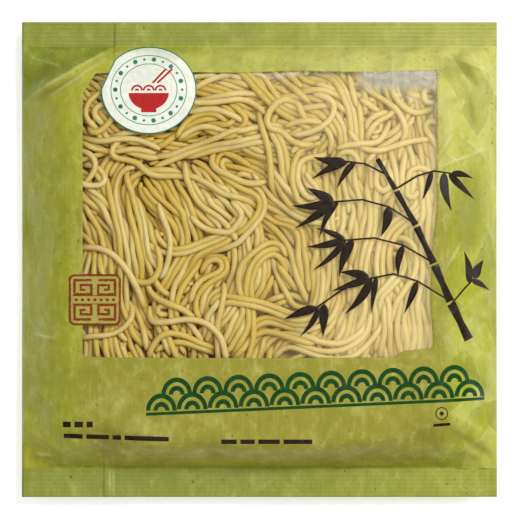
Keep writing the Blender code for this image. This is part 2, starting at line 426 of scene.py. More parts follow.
def soft_corners(corners, size):
    """The outline with each corner replaced by a short curve."""
    outline = []
    count = len(corners)
    for k in range(count):
        before, here, after = (np.array(corners[(k + i) % count]) for i in (-1, 0, 1))
        start = here + (before - here) * min(0.4, size / np.linalg.norm(before - here))
        end = here + (after - here) * min(0.4, size / np.linalg.norm(after - here))
        for t in (0, 0.25, 0.5, 0.75, 1):
            outline.append(tuple((1 - t) ** 2 * start + 2 * t * (1 - t) * here + t * t * end))
    return outline


def densify(outline, step, sag=0.0):
    """Add points along the long sides; the lowest side sags by sag, the top one is wavy."""
    result = []
    for (x0, y0), (x1, y1) in zip(outline, outline[1:] + outline[:1]):
        count = max(1, round(math.hypot(x1 - x0, y1 - y0) / step))
        for i in range(count):
            t = i / count
            x, y = x0 + (x1 - x0) * t, y0 + (y1 - y0) * t
            if y < WINDOW_BOTTOM + 0.1 * MM:
                y -= sag * math.cos(math.pi * x / WIDTH)
            if y > WINDOW_TOP - 1 * MM:
                y += sag / 3 * math.sin(x / (9 * MM))
            result.append((x, y))
    return result


def cut_left(outline, inset):
    """The outline with its upper left flattened, where the film is tucked over it."""
    a, b = (np.array(p) for p in BADGE_CUT)
    way = (b - a) / np.linalg.norm(b - a)
    result = []
    for point in outline:
        beyond = (point[0] - a[0]) * way[1] - (point[1] - a[1]) * way[0] + inset
        back = max(0.0, beyond)
        result.append((point[0] - back * way[1], point[1] + back * way[0]))
    return result


def badge():
    """White disc with two thin rings, a ring of beads and a bowl of noodles in it."""
    cx, cy = BADGE_CENTRE
    rx, ry = BADGE_RADIUS
    shapes = [("teal", cut_left(oval(BADGE_CENTRE, rx, ry, 72), 0))]
    shapes.append(("white", cut_left(oval(BADGE_CENTRE, rx - 0.5 * MM, ry - 0.5 * MM, 72), 0.5 * MM)))
    for part, line in ((0.80, 0.32 * MM), (0.60, 0.32 * MM)):
        shapes.append(("teal", oval(BADGE_CENTRE, rx * part, ry * part, 60)))
        shapes.append(("white", oval(BADGE_CENTRE, rx * part - line, ry * part - line, 60)))
    for k in range(22):
        angle = 2 * math.pi * k / 22
        at = (cx + rx * 0.70 * math.cos(angle), cy + ry * 0.70 * math.sin(angle))
        size = 1.0 * MM if k % 2 else 0.55 * MM
        shapes.append(("teal", oval(at, size, size, 10)))
    shapes += bowl(cx, cy - 0.8 * MM)
    return shapes


def bowl(cx, cy):
    """A red bowl with a foot, three waves of noodles over it and two sticks."""
    shapes = []
    rim = 8.4 * MM
    half_turn = [math.pi + math.pi * i / 20 for i in range(21)]
    body = [(cx + rim * math.cos(a), cy - 0.6 * MM + 7.0 * MM * math.sin(a)) for a in half_turn]
    shapes.append(("red", body))
    foot_y = cy - 7.4 * MM
    shapes.append(("red", rounded(cx - 3.2 * MM, foot_y - 1.3 * MM, cx + 3.2 * MM, foot_y + 0.6 * MM, 0.3 * MM, 2)))
    for k in range(3):
        centre = (cx + (k - 1) * 4.9 * MM, cy + 0.4 * MM)
        for size, paint in ((2.5, "red"), (1.7, "white"), (0.9, "red")):
            arc = [math.pi * i / 12 for i in range(13)]
            shapes.append((paint, [(centre[0] + size * MM * math.cos(a), centre[1] + size * MM * math.sin(a)) for a in arc]))
    for k in range(2):
        start = (cx + (1.6 + 2.0 * k) * MM, cy + 3.6 * MM)
        end = (cx + (7.2 + 2.6 * k) * MM, cy + 9.6 * MM)
        shapes.append(("red", stroke([start, end], 0.85 * MM)))
    return shapes


def rough(outline, rng):
    """The outline with the ragged edge of a rubber stamp."""
    fine = densify(outline, 0.7 * MM)
    return [(x + STAMP_ROUGH * rng.normal(), y + STAMP_ROUGH * rng.normal()) for x, y in fine]


def stamp():
    """Red square seal with rounded corners and a square spiral in each quarter."""
    rng = np.random.default_rng(SEED)
    x0, y0, x1, y1 = STAMP_BOX
    line = 0.95 * MM
    shapes = [("red_ink", rough(rounded(x0, y0, x1, y1, 2.6 * MM), rng))]
    ground = rounded(x0 + line, y0 + line, x1 - line, y1 - line, 1.8 * MM)
    shapes.append(("stamp_ground", rough(ground, rng)))
    middle = (y0 + y1) / 2
    for side in (-1, 1):
        at = middle + side * 1.7 * MM
        shapes.append(("red_ink", stroke([(x0 + 1.6 * MM, at), (x1 - 1.6 * MM, at)], 0.35 * MM)))
    for k in range(7):
        at = x0 + (3.2 + 2.6 * k) * MM
        shapes.append(("red_ink", oval((at, middle), 0.7 * MM, 0.7 * MM, 8)))
    for i in range(2):
        for j in range(2):
            centre = (x0 + (6.0 + 9.9 * i) * MM, y0 + (5.6 + 10.4 * j) * MM)
            shapes.append(("red_ink", rough(stroke(square_spiral(centre, i, j), 1.05 * MM), rng)))
    return shapes


def square_spiral(centre, flip_x, flip_y):
    """Corners of a square spiral, turned to face the middle of the seal."""
    ways = ((1, 0), (0, -1), (-1, 0), (0, 1))
    at = np.array([-3.5 * MM, 3.0 * MM])
    points = [at.copy()]
    lengths = (7.0, 6.0, 7.0, 3.9, 4.4, 1.9, 1.9)
    for k, length in enumerate(lengths):
        at = at + np.array(ways[k % 4]) * length * MM
        points.append(at.copy())
    sign = (1 if flip_x else -1, 1 if flip_y else -1)
    return [(centre[0] + p[0] * sign[0], centre[1] + p[1] * sign[1]) for p in points]


def waves():
    """Two rows of overlapping scallops in dark green that climb to the right."""
    shapes = []
    count = 11
    pitch = 12.9 * MM
    left = -41.0 * MM
    for row, shift in ((1, 0.5), (0, 0.0)):
        for k in range(count - row):
            x = left + (k + shift) * pitch
            y = (-63.2 + 6.4 * row) * MM + 0.045 * (x - left)
            for part, paint in ((1.0, "green"), (0.72, "base"), (0.52, "green"), (0.24, "base")):
                radius = pitch / 2 * part
                arc = [math.pi * i / 18 for i in range(19)]
                shapes.append((paint, [(x + radius * math.cos(a), y + radius * 1.12 * math.sin(a)) for a in arc]))
    ends = (left - pitch / 2, left + (count - 0.5) * pitch)
    foot = [(x, -64.4 * MM + 0.045 * (x - left)) for x in np.linspace(ends[0], ends[1], 30)]
    shapes.append(("green", stroke(foot, 1.3 * MM)))
    return shapes


def bamboo():
    """A brushed stem of bamboo with twigs and groups of leaves."""
    shapes = []
    knots = np.array([(88, -34), (80, -18), (73, -2), (65.5, 14), (57, 29), (49, 42.5)]) * MM
    for k, (a, b) in enumerate(zip(knots[:-1], knots[1:])):
        way = (b - a) / np.linalg.norm(b - a)
        start, end = a + way * 0.5 * MM, b - way * 0.5 * MM
        width = (3.6 - 0.42 * k) * MM
        side = np.array([-way[1], way[0]]) * width / 2
        middle = (start + end) / 2
        outline = [start - side * 1.15, middle - side * 0.82, end - side * 1.1]
        outline += [end + side * 1.1, middle + side * 0.82, start + side * 1.15]
        shapes.append(("black", [tuple(p) for p in outline]))
    twigs = (
        ((79, -17), (66, -9), (56, -6), (46, -8)),
        ((72, -1), (60, 6), (48, 9), (35, 8)),
        ((65, 15), (54, 22), (43, 25), (30, 24)),
        ((57, 29.5), (66, 35), (73, 37), (80, 36)),
        ((52, 36), (44, 40), (36, 41)),
        ((80, -19), (86, -12), (90, -8)),
        ((46, -8), (34, -13), (24, -20)),
    )
    for twig in twigs:
        shapes.append(("black", stroke([(x * MM, y * MM) for x, y in twig], 0.75 * MM)))
    # x, y, angle in degrees and length in mm of each leaf.
    leaves = (
        (46, -8, 198, 17), (47, -8, 232, 19), (49, -7, 262, 16), (46, -8, 168, 13),
        (35, 8, 190, 16), (36, 8, 222, 19), (39, 8.5, 250, 17), (36, 8, 158, 14),
        (30, 24, 185, 17), (31, 24, 214, 20), (33, 24.5, 243, 18), (31, 24, 152, 13),
        (80, 36, -12, 10), (79, 36, -44, 16), (77, 36.5, -78, 17), (72, 37, -108, 13),
        (36, 41, 172, 14), (37, 41, 206, 17), (40, 41, 236, 14),
        (90, -8, 62, 9), (89, -8.5, -30, 9), (88, -10, 100, 14),
        (24, -20, 200, 15), (25, -20, 236, 15), (27, -18.5, 268, 14),
        (60, 6, 262, 14), (66, -9, 248, 15), (54, 22, 255, 13),
    )
    for k, (x, y, angle, length) in enumerate(leaves):
        width = (3.5 + 0.9 * math.sin(2.4 * k)) * MM
        bend = 0.07 * math.sin(1.7 * k)
        shapes.append(("black", leaf(x * MM, y * MM, math.radians(angle), length * MM, width, bend)))
    return shapes


def small_marks():
    """Short dark rules under the waves and a small ring at the right."""
    shapes = []
    rows = (
        (-82.3, -69.0, (3.4, 3.6, 2.6), 2.4, 0.0),
        (-82.0, -73.8, (8.0, 9.5, 3.6, 18.5), 1.9, -0.03),
        (-16.0, -76.2, (6.5, 6.0, 9.0, 12.0), 1.9, 0.0),
        (72.8, -69.4, (7.0,), 1.2, 0.08),
    )
    for x, y, lengths, height, slope in rows:
        start = x
        for length in lengths:
            ends = [(start * MM, (y + slope * (start - x)) * MM)]
            ends.append(((start + length) * MM, (y + slope * (start + length - x)) * MM))
            shapes.append(("black", stroke(ends, height * MM)))
            start += length + 1.5
    centre = (76.2 * MM, -64.4 * MM)
    shapes.append(("black", oval(centre, 2.7 * MM, 2.7 * MM, 28)))
    shapes.append(("base", oval(centre, 2.25 * MM, 2.25 * MM, 28)))
    shapes.append(("black", oval(centre, 0.9 * MM, 0.9 * MM, 14)))
    return shapes


def printed_shapes():
    """Every field of the print, lowest first, as (paint, outline)."""
    shapes = [("clear", window_outline())]
    shapes += badge()
    shapes += stamp()
    shapes += bamboo()
    shapes += waves()
    shapes += small_marks()
    return shapes


# ---------------------------------------------------------------- the film's mesh

GRID = 1.45 * MM
BACK_GRID = 2.6 * MM
SEAL_STEP_X = 1.25 * MM
RIM_STEP = 1.6 * MM
MERGE = 0.02  # points closer than this are one, in mm


def rim_points():
    """The pack's outline, with a point on each line of the seals' ribs."""
    across = np.linspace(LEFT, RIGHT, round(WIDTH / SEAL_STEP_X) + 1)
    quarter = CRIMP_PITCH / 4
    low = BOTTOM + quarter * np.arange(1, round((BOTTOM_SEAL_Y - BOTTOM) / quarter) + 1)
    high = TOP - quarter * np.arange(round((TOP - TOP_SEAL_Y) / quarter), 0, -1)
    body = np.linspace(low[-1], high[0], round((high[0] - low[-1]) / RIM_STEP) + 1)[1:-1]
    up = np.concatenate([low, body, high])
    points = [(x, BOTTOM) for x in across] + [(RIGHT, y) for y in up]
    points += [(x, TOP) for x in across[::-1]] + [(LEFT, y) for y in up[::-1]]
    return points, low, high


def cavity_outline():
    """Where the front and back films part: inside the seals and the side creases."""
    x0, x1 = LEFT + CAVITY_SIDE, RIGHT - CAVITY_SIDE
    y0, y1 = BOTTOM_SEAL_Y + CAVITY_END, TOP_SEAL_Y - CAVITY_END
    return densify([(x0, y0), (x1, y0), (x1, y1), (x0, y1)], RIM_STEP)


def inner_points(step, low, high):
    """Free points inside the outline: a staggered grid, and rows along the ribs."""
    points = []
    y0, y1 = low[-1] + 0.6 * step, high[0] - 0.6 * step
    rows = np.linspace(y0, y1, round((y1 - y0) / (step * 0.87)) + 1)
    for k, y in enumerate(rows):
        shift = 0.5 * (k % 2) + 0.25
        xs = np.arange(LEFT + shift * step + 0.4 * step, RIGHT - 0.4 * step, step)
        points += [(x, y) for x in xs]
    rib_xs = np.linspace(LEFT, RIGHT, round(WIDTH / SEAL_STEP_X) + 1)[1:-1]
    for y in np.concatenate([low, high]):
        points += [(x, y) for x in rib_xs]
    return points


def anticlockwise(outline):
    """The outline, turned round if it runs clockwise."""
    ring = outline + outline[:1]
    area = sum(a[0] * b[1] - b[0] * a[1] for a, b in zip(ring, ring[1:]))
    return outline if area > 0 else outline[::-1]


def loop_of(edges, plan):
    """Plan points of a closed chain of directed edges, in order."""
    after = {int(a): int(b) for a, b in edges}
    start = at = int(edges[0, 0])
    chain = []
    while not chain or at != start:
        chain.append(tuple(plan[at]))
        at = after[at]
    return chain


def triangulate(outline, cavity, shapes, chains, step):
    """Triangles over the whole pack that follow every outline and chain.

    Returns plan points, triangles and, for each triangle, the last shape that holds it
    (0 is the pack's outline and 1 the cavity's, so the print starts at 2) and whether
    it is in the cavity.
    """
    _, low, high = rim_points()
    points, faces, edges = [], [], []
    for one in map(anticlockwise, [outline, cavity] + shapes):
        faces.append(list(range(len(points), len(points) + len(one))))
        points += [tuple(p) for p in one]
    for chain in chains:
        edges += [(len(points) + i, len(points) + i + 1) for i in range(len(chain) - 1)]
        points += [tuple(p) for p in chain]
    points += inner_points(step, low, high)
    flat = [Vector((x / MM, y / MM)) for x, y in points]
    found = geometry.delaunay_2d_cdt(flat, edges, faces, 0, MERGE)
    plan = np.array([tuple(v) for v in found[0]]) * MM
    triangles = np.array([f for f in found[2]])
    holders = found[5]
    inside = np.array([0 in held for held in holders])
    in_cavity = np.array([1 in held for held in holders])
    last = np.array([max(held) if held else -1 for held in holders])
    return plan, triangles[inside], last[inside], in_cavity[inside]


def tuck_chains():
    """Both edges of each tuck's step, so that the step stays sharp."""
    chains = []
    spans = ((TOP_TUCK_X, TOP_SEAL_Y - TUCK_REACH, TOP), (BOTTOM_TUCK_X, BOTTOM, BOTTOM_SEAL_Y + TUCK_REACH))
    for edge, start, end in spans:
        for x in (edge - TUCK_EDGE, edge):
            chains.append([(x, y) for y in np.linspace(start, end, 40)[1:-1]])
    return chains


def crease_chains():
    """The crest of each crease and both edges of its painted highlight line."""
    chains = []
    for x0, y0, x1, y1, _, _ in CREASES:
        run = math.hypot(x1 - x0, y1 - y0)
        side_x, side_y = FOLD_HIGHLIGHT_WIDTH * (y1 - y0) / run, FOLD_HIGHLIGHT_WIDTH * (x0 - x1) / run
        for side in (-1, 0, 1):
            at = np.linspace(0.03, 0.97, round(run / 1.6) + 2)
            xs = (x0 + (x1 - x0) * at + side * side_x) * MM
            ys = (y0 + (y1 - y0) * at + side * side_y) * MM
            chains.append(list(zip(xs, ys)))
    return chains


def fin_chains():
    """Both edges of the fin seal down the back."""
    ys = np.linspace(BOTTOM_SEAL_Y + 1 * MM, TOP_SEAL_Y - 1 * MM, 100)
    return [[(x, y) for y in ys] for x in (FIN_LEFT, FIN_RIGHT)]


def key(point):
    """A plan point's place to a hundredth of a millimetre."""
    return (round(point[0] / MM * 100), round(point[1] / MM * 100))


def film_sheets(paints):
    """Outer and inner points and triangles of the printed film and the clear window."""
    shapes = printed_shapes()
    plan, triangles, last, in_cavity = triangulate(
        rim_points()[0], cavity_outline(), [outline for _, outline in shapes],
        tuck_chains() + crease_chains(), GRID
    )
    order = ["base", "base"] + [paint for paint, _ in shapes]
    paint = np.array([paints.index(order[k]) for k in last])
    outline = loop_of(free_edges(triangles), plan)
    cavity = loop_of(free_edges(triangles[in_cavity]), plan)
    back_plan, back_triangles, _, back_cavity = triangulate(
        outline, cavity, [], fin_chains(), BACK_GRID
    )

    x, y = plan[:, 0], plan[:, 1]
    upper = front_height(x, y)
    under = back_height(x, y)
    at_cavity_rim = np.zeros(len(plan), bool)
    at_cavity_rim[np.unique(free_edges(triangles[in_cavity]))] = True
    middle = (upper + under) / 2
    inner = np.maximum(upper - FILM, middle + 0.01 * MM)
    inner[at_cavity_rim] = middle[at_cavity_rim]

    bx, by = back_plan[:, 0], back_plan[:, 1]
    back_outer = back_height(bx, by)
    back_upper = front_height(bx, by)
    back_middle = (back_outer + back_upper) / 2
    back_inner = np.minimum(back_outer + FILM, back_middle - 0.01 * MM)
    back_rim = np.unique(free_edges(back_triangles[back_cavity]))
    back_inner[back_rim] = back_middle[back_rim]

    count, back_count = len(plan), len(back_plan)
    points = np.vstack([
        np.column_stack([plan, upper]), np.column_stack([plan, inner]),
        np.column_stack([back_plan, back_outer]), np.column_stack([back_plan, back_inner]),
    ])
    front_number = {key(p): i for i, p in enumerate(plan)}
    inner_index = np.arange(count) + count
    back_outer_index = np.arange(back_count) + 2 * count
    back_inner_index = np.arange(back_count) + 2 * count + back_count
    for i in back_rim:
        back_inner_index[i] = inner_index[front_number[key(back_plan[i])]]
    below = np.full(count, -1)
    for i in np.unique(free_edges(back_triangles)):
        below[front_number[key(back_plan[i])]] = back_outer_index[i]

    clear = unpinch(triangles, paint == paints.index("clear"))
    paint[(paint == paints.index("clear")) & ~clear] = paints.index("black")
    inside = paints.index("inside")
    printed = triangles[~clear]
    faces, slots = [], []

    def add(block, slot):
        faces.extend(block.tolist())
        slots.extend(np.broadcast_to(slot, len(block)).tolist())

    upper_index = np.arange(count)
    outline = free_edges(triangles)
    on_outline = np.zeros(count, bool)
    on_outline[np.unique(outline)] = True
    window_edges = free_edges(printed)
    window_edges = window_edges[~(on_outline[window_edges].all(axis=1))]
    add(printed, paint[~clear])
    add(inner_index[triangles[~clear & in_cavity][:, ::-1]], inside)
    add(walls(window_edges, upper_index, inner_index), inside)
    add(walls(outline, upper_index, below), 0)
    add(back_outer_index[back_triangles[:, ::-1]], 0)
    add(back_inner_index[back_triangles[back_cavity]], inside)
    pane = triangles[clear]
    pane_faces = pane.tolist() + inner_index[pane[:, ::-1]].tolist()
    pane_faces += walls(free_edges(pane), upper_index, inner_index).tolist()
    return points, faces, slots, pane_faces


def unpinch(triangles, clear):
    """Fill the clear triangles at points where the pane would touch itself."""
    while True:
        starts, uses = np.unique(free_edges(triangles[clear])[:, 0], return_counts=True)
        pinched = np.isin(triangles, starts[uses > 1]).any(axis=1) & clear
        if not pinched.any():
            return clear
        clear = clear & ~pinched


def used_only(points, faces):
    """The points that the faces use, and the faces renumbered to match."""
    used = sorted({i for face in faces for i in face})
    number = {old: new for new, old in enumerate(used)}
    return points[used], [[number[i] for i in face] for face in faces]


# ---------------------------------------------------------------- the noodles

NOODLE = 2.56 * MM
NOODLE_SPREAD = 0.05
NOODLE_STEP = 1.6 * MM
NOODLE_SIDES = 8
TIP_SIZE = 0.5
TIGHTEST_BEND = 3.5 * MM
SLAB = 8.6 * MM
LAYER_RISE = 5.0 * MM
UNDER_FILM = 0.12 * MM
BLOCK_BOX = ((-80 * MM, 80 * MM), (-49 * MM, 84 * MM))
FLOW_GRID, FLOW_REACH = 3 * MM, 6 * MM
FEWEST_POINTS = 9
SQUEEZE, BUNDLE_SQUEEZE = 0.94, 0.85
# Layers of strands below the laid bundles: turn from their run, room and level.
UNDER_LAYERS = ((0.35, 1.02, -1.5), (-0.12, 0.98, -0.6))
STAGGER = 6
TUCKED_END = 3.2 * MM
TUCKED_LENGTH = 8.0
HOLLOW = 2.0 * MM
RIGHT_END_DROP, RIGHT_SIDE_DROP = 11.5 * MM, 6.6 * MM

# Bundles that were laid into the tray one after another, lowest first: how many strands
# lie side by side, and the way that the middle of the bundle takes, in mm.
BUNDLES = (
    # lowest
    (4, (-78, 74), (-68, 66), (-60, 57), (-50, 52), (-38, 50)),
    (3, (-74, 52), (-66, 49), (-58, 50), (-48, 50), (-40, 46)),
    (3, (-77, 31), (-68, 26), (-61, 16), (-57, 6), (-61, -6), (-66, -14)),
    (3, (-77, 14), (-68, 12), (-64, 4), (-65, -8), (-63, -20), (-66, -34), (-64, -46)),
    (4, (-43, 37), (-35, 29), (-29, 19), (-27, 8), (-30, -2), (-36, -10), (-40, -22), (-36, -36),
        (-34, -46)),
    (5, (-30, 38), (-23, 31), (-15, 24), (-8, 16), (-2, 6), (-4, -6), (-9, -18), (-14, -30),
        (-22, -44)),
    (3, (-24, 79), (-14, 71), (-4, 69), (4, 63), (14, 60), (22, 59), (30, 61), (38, 60)),
    (3, (-22, 74), (-12, 78), (0, 75), (10, 75), (20, 71), (28, 63)),
    (4, (20, 76), (27, 70), (32, 63), (37, 55), (38, 46), (36, 36), (38, 24), (36, 10)),
    (4, (27, 44), (25, 34), (29, 22), (28, 8), (26, -6), (27, -18), (22, -30), (14, -42)),
    (3, (44, 46), (47, 36), (44, 24), (46, 10), (42, -4), (44, -20), (38, -34), (36, -46)),
    (4, (62, 66), (60, 54), (63, 44), (62, 32), (66, 20), (64, 8), (66, -6), (62, -20),
        (66, -34), (62, -46)),
    (3, (71, 62), (69, 50), (71, 38), (70, 24), (71, 10), (69, -4)),
    (3, (-14, -46), (-8, -34), (0, -27), (10, -27), (20, -32), (30, -28), (34, -16), (30, -4),
        (32, 8)),
    (3, (2, -44), (6, -36), (14, -31), (24, -36), (36, -38), (46, -30), (50, -16), (48, -4)),
    (3, (-34, 80), (-22, 78.5), (-8, 79), (6, 77.5), (20, 79), (32, 78), (41, 74)),
    # between
    (3, (-38, 46), (-35, 54), (-27, 60), (-18, 60), (-11, 55), (-2, 52), (8, 55)),
    (2, (-31, 47), (-28, 53), (-22, 56), (-15, 53), (-8, 52), (-4, 57), (-10, 62), (-20, 65)),
    (3, (-49, 37), (-47, 29), (-41, 23), (-34, 17), (-29, 9), (-27, 1)),
    (2, (-56, 42), (-57, 33), (-54, 24), (-51, 14), (-47, 4), (-45, -6), (-38, -13), (-30, -14)),
    (4, (-52, 41), (-60, 35), (-62, 28), (-57, 18), (-54, 8), (-54, -4), (-57, -14), (-53, -24),
        (-44, -31)),
    (3, (-49, 39), (-40, 44), (-28, 46), (-14, 49), (-2, 52), (8, 53), (18, 50)),
    (2, (-46, -44), (-44, -36), (-36, -31), (-26, -32), (-17, -37), (-12, -44)),
    (3, (-13, -46), (-8, -34), (-7, -22), (-8, -10), (-3, 0), (5, 4), (12, 2), (16, -6)),
    (2, (-48, 10), (-43, 3), (-36, 1), (-28, 5), (-18, 9), (-10, 15), (-3, 23), (1, 29)),
    (3, (6, 66), (0, 58), (4, 50), (10, 46), (9, 38), (12, 29), (19, 23), (26, 17)),
    (3, (-2, 40), (7, 34), (14, 26), (20, 19), (28, 16), (33, 20)),
    (2, (0, 20), (6, 14), (14, 17), (20, 12), (19, 3), (22, -8), (20, -18)),
    (3, (54, 28), (58, 34), (66, 33), (68, 24), (62, 18), (54, 14), (50, 4), (53, -8), (54, -22),
        (55, -44)),
    (3, (48, -2), (52, 4), (59, 6), (64, 0), (62, -9), (55, -14), (50, -24), (50, -44)),
    (2, (-72, -24), (-70, -34), (-72, -46)),
    # uppermost
    (2, (-8, 36), (-12, 45), (-19, 41), (-18, 34), (-12, 30), (-2, 30), (2, 24), (-3, 17),
        (-11, 10), (-22, 5), (-31, 0), (-35, -8), (-31, -16), (-25, -15)),
    (1, (-51, 51), (-60, 49), (-65, 45), (-61, 41.5), (-55, 44), (-51.5, 42.5), (-49, 38),
        (-43, 36), (-36, 37.5), (-29, 35.5), (-22, 31), (-16, 27), (-6, 26), (2, 21), (8, 12)),
    (1, (-77, 48), (-70, 46), (-66.5, 41), (-70, 36), (-76, 32)),
    (1, (-78, 34), (-72, 30), (-66, 29), (-62.5, 34), (-66, 39), (-74, 41)),
    (2, (-62, 66), (-69, 65), (-73, 61), (-68, 57), (-62, 55), (-59, 48)),
    (1, (-60, 60), (-68, 58.5), (-73, 55), (-69, 52), (-62, 53), (-60, 60), (-58, 66)),
    (2, (-28, -4), (-22, 0), (-14, 1), (-10, -4), (-17, -9), (-25, -11), (-28, -17), (-27, -26)),
    (1, (-52, -12), (-46, -17), (-38, -19), (-31, -22), (-27, -28)),
    (1, (-49, -18), (-47.5, -25), (-43, -29.5), (-36, -27), (-28, -23.5), (-20, -23.5),
        (-14.5, -27), (-12.5, -34), (-14, -46)),
    (1, (-36, -22), (-42, -20), (-45, -24), (-41, -27), (-38, -23)),
    (2, (-18, -26), (-14, -20.5), (-4, -20), (6, -21.5), (13, -26), (19, -28), (25, -23),
        (27, -14), (25, -2), (24, 10)),
    (1, (28, 54), (20, 51), (12, 48), (7, 55), (2, 51.5), (0, 55), (4, 61), (11, 66), (19, 65.5),
        (23, 61), (25, 55)),
    (1, (23, 66), (29, 66.5), (33, 62), (31, 57), (23, 54), (14, 51)),
    (1, (12, 55), (17, 60), (24, 61), (30, 57), (32, 51), (28, 47)),
    (2, (30, 51), (22, 46), (14, 43.5), (10.5, 37), (12, 29), (17, 23.5), (22.5, 22), (25.5, 26),
        (20, 32), (14, 35)),
    (1, (56, 66), (47, 62.5), (42.5, 57), (44.5, 50.5), (50, 51.5), (52, 57), (48, 61)),
    (1, (31, 40), (33, 46.5), (38, 49), (41.5, 44), (40, 36)),
    (1, (29, 50), (33, 55), (38, 52), (41, 46), (48, 44.5), (56, 47), (62, 50), (70, 45),
        (77, 44)),
    (1, (42, 79), (44, 71), (50, 67), (58, 62), (62, 54), (61, 46), (56, 40)),
    (2, (64, 47), (67, 40), (66, 30), (69, 20), (67, 8), (69, -4)),
    (1, (53, 72), (57, 66), (60, 60), (66, 58), (71, 62)),
    (1, (62, 71), (66, 66), (72, 67.5)),
    (1, (71, 69), (66, 70), (63, 68), (66, 65.5), (72, 66)),
    (1, (33, 73), (36, 69), (38, 65), (41, 61)),
    (1, (40, 68), (44, 67), (48, 64), (53, 63)),
    (1, (44, 73), (49, 73.5), (53, 71), (53, 66)),
    (1, (57, 70), (53.5, 64), (47, 61.5), (43, 56), (43.5, 49)),
    (1, (52.5, 59), (51.5, 54), (50.5, 49.5), (47, 46.5), (42, 47.5), (38, 50.5), (34, 50), (31, 47)),
    (1, (66, 59), (63, 55), (62, 50), (58.5, 47), (53, 47), (48, 43.5), (44, 40)),
    (1, (65, 65), (62, 59), (59.5, 54), (55, 50.5), (50, 51.5), (46, 50.5)),
    (1, (72, 57), (68, 60), (65, 57), (66, 51), (70, 47), (72, 41)),
    (1, (55, 41), (51, 38), (48, 33), (51, 28), (57, 29), (58, 34), (54, 37)),
    (1, (72, 34), (67, 37), (63, 35), (61, 29), (64, 24), (69, 26)),
    (1, (-14, -10), (-12, -18), (-16, -26), (-14, -36), (-17, -46)),
    (1, (-33, 42), (-30, 36), (-28, 30), (-22, 24), (-14, 18), (-8, 12), (-4, 4)),
    (1, (-20, 44), (-21.5, 40), (-19, 35.5), (-13, 32.5), (-5, 31), (3, 33)),
    (1, (-45, 30), (-41, 22), (-37, 12), (-38, 2), (-43, -6), (-42, -14)),
    (1, (-76, 1), (-68, 5), (-60, 4), (-54, -3), (-51, -11), (-52, -19)),
    (1, (-61, -3), (-58, -9), (-51, -12), (-44.5, -9), (-42, -2), (-45, 6), (-52, 9)),
    (1, (-30, 66), (-23, 63.5), (-16, 65), (-10, 69), (-3, 67), (2, 61)),
    (1, (-30, 20), (-24, 14), (-16, 12), (-9, 15), (-6, 21), (-9, 27)),
    (1, (-57, -17), (-54, -24), (-56, -31), (-62, -35), (-69, -33), (-77, -35)),
)


def curve_through(points, per_span=24):
    """A smooth line through the points (a Catmull-Rom spline)."""
    ends = np.vstack([2 * points[0] - points[1], points, 2 * points[-1] - points[-2]])
    t = np.linspace(0, 1, per_span, endpoint=False)[:, None]
    spans = []
    for a, b, c, d in zip(ends[:-3], ends[1:-2], ends[2:-1], ends[3:]):
        cubic = (3 * b - a - 3 * c + d) * t ** 3
        spans.append((2 * b + (c - a) * t + (2 * a - 5 * b + 4 * c - d) * t ** 2 + cubic) / 2)
    return np.vstack(spans + [points[-1:]])


def spaced(line, step):
    """The line with its points an even step apart."""
    run = np.concatenate([[0], np.cumsum(np.linalg.norm(np.diff(line, axis=0), axis=1))])
    at = np.linspace(0, run[-1], max(4, round(run[-1] / step)) + 1)
    return np.column_stack([np.interp(at, run, column) for column in line.T])


def beside(line, side):
    """The line moved sideways by side, point by point."""
    way = np.gradient(line, axis=0)
    way /= np.linalg.norm(way, axis=1)[:, None] + 1e-12
    return line + np.column_stack([-way[:, 1], way[:, 0]]) * side[:, None]


def evened(line, rounds):
    """The line without its kinks."""
    for _ in range(rounds):
        line = line.copy()
        line[1:-1] += (line[:-2] + line[2:] - 2 * line[1:-1]) / 4
    return line


def middle_line(points):
    """The way of one laid bundle."""
    return spaced(evened(curve_through(np.array(points, float) * MM), 3), NOODLE_STEP / 2)


def flow_field():
    """Which way the laid bundles run around each place, as complex numbers on a grid.

    A number's angle is twice the bundle's, as a strand has no front and back.
    """
    (x0, x1), (y0, y1) = BLOCK_BOX
    xs, ys = np.arange(x0, x1 + FLOW_GRID, FLOW_GRID), np.arange(y0, y1 + FLOW_GRID, FLOW_GRID)
    flow = np.zeros((len(xs), len(ys)), complex)
    for count, *points in BUNDLES:
        line = middle_line(points)[::4]
        way = np.gradient(line, axis=0)
        turn = (way[:, 0] + 1j * way[:, 1]) ** 2
        across = np.exp(-((xs[:, None] - line[:, 0]) / FLOW_REACH) ** 2 / 2)
        along = np.exp(-((ys[:, None] - line[:, 1]) / FLOW_REACH) ** 2 / 2)
        flow += count * (across * turn / np.abs(turn)) @ along.T
    return flow / np.abs(flow)


def follow(flow, at, heading, skew, is_free):
    """Points along the flow, turned by skew, until the block ends or a strand is near."""
    (x0, x1), (y0, y1) = BLOCK_BOX
    path = []
    while x0 < at[0] < x1 and y0 < at[1] < y1 and is_free(at) and len(path) < 110:
        path.append(at)
        cell = int((at[0] - x0) / FLOW_GRID + 0.5), int((at[1] - y0) / FLOW_GRID + 0.5)
        way = flow[cell] ** 0.5 * skew
        way = way if (way * heading.conjugate()).real > 0 else -way
        heading = heading + 0.3 * way
        heading /= abs(heading)
        at = (at[0] + NOODLE_STEP * heading.real, at[1] + NOODLE_STEP * heading.imag)
    return path


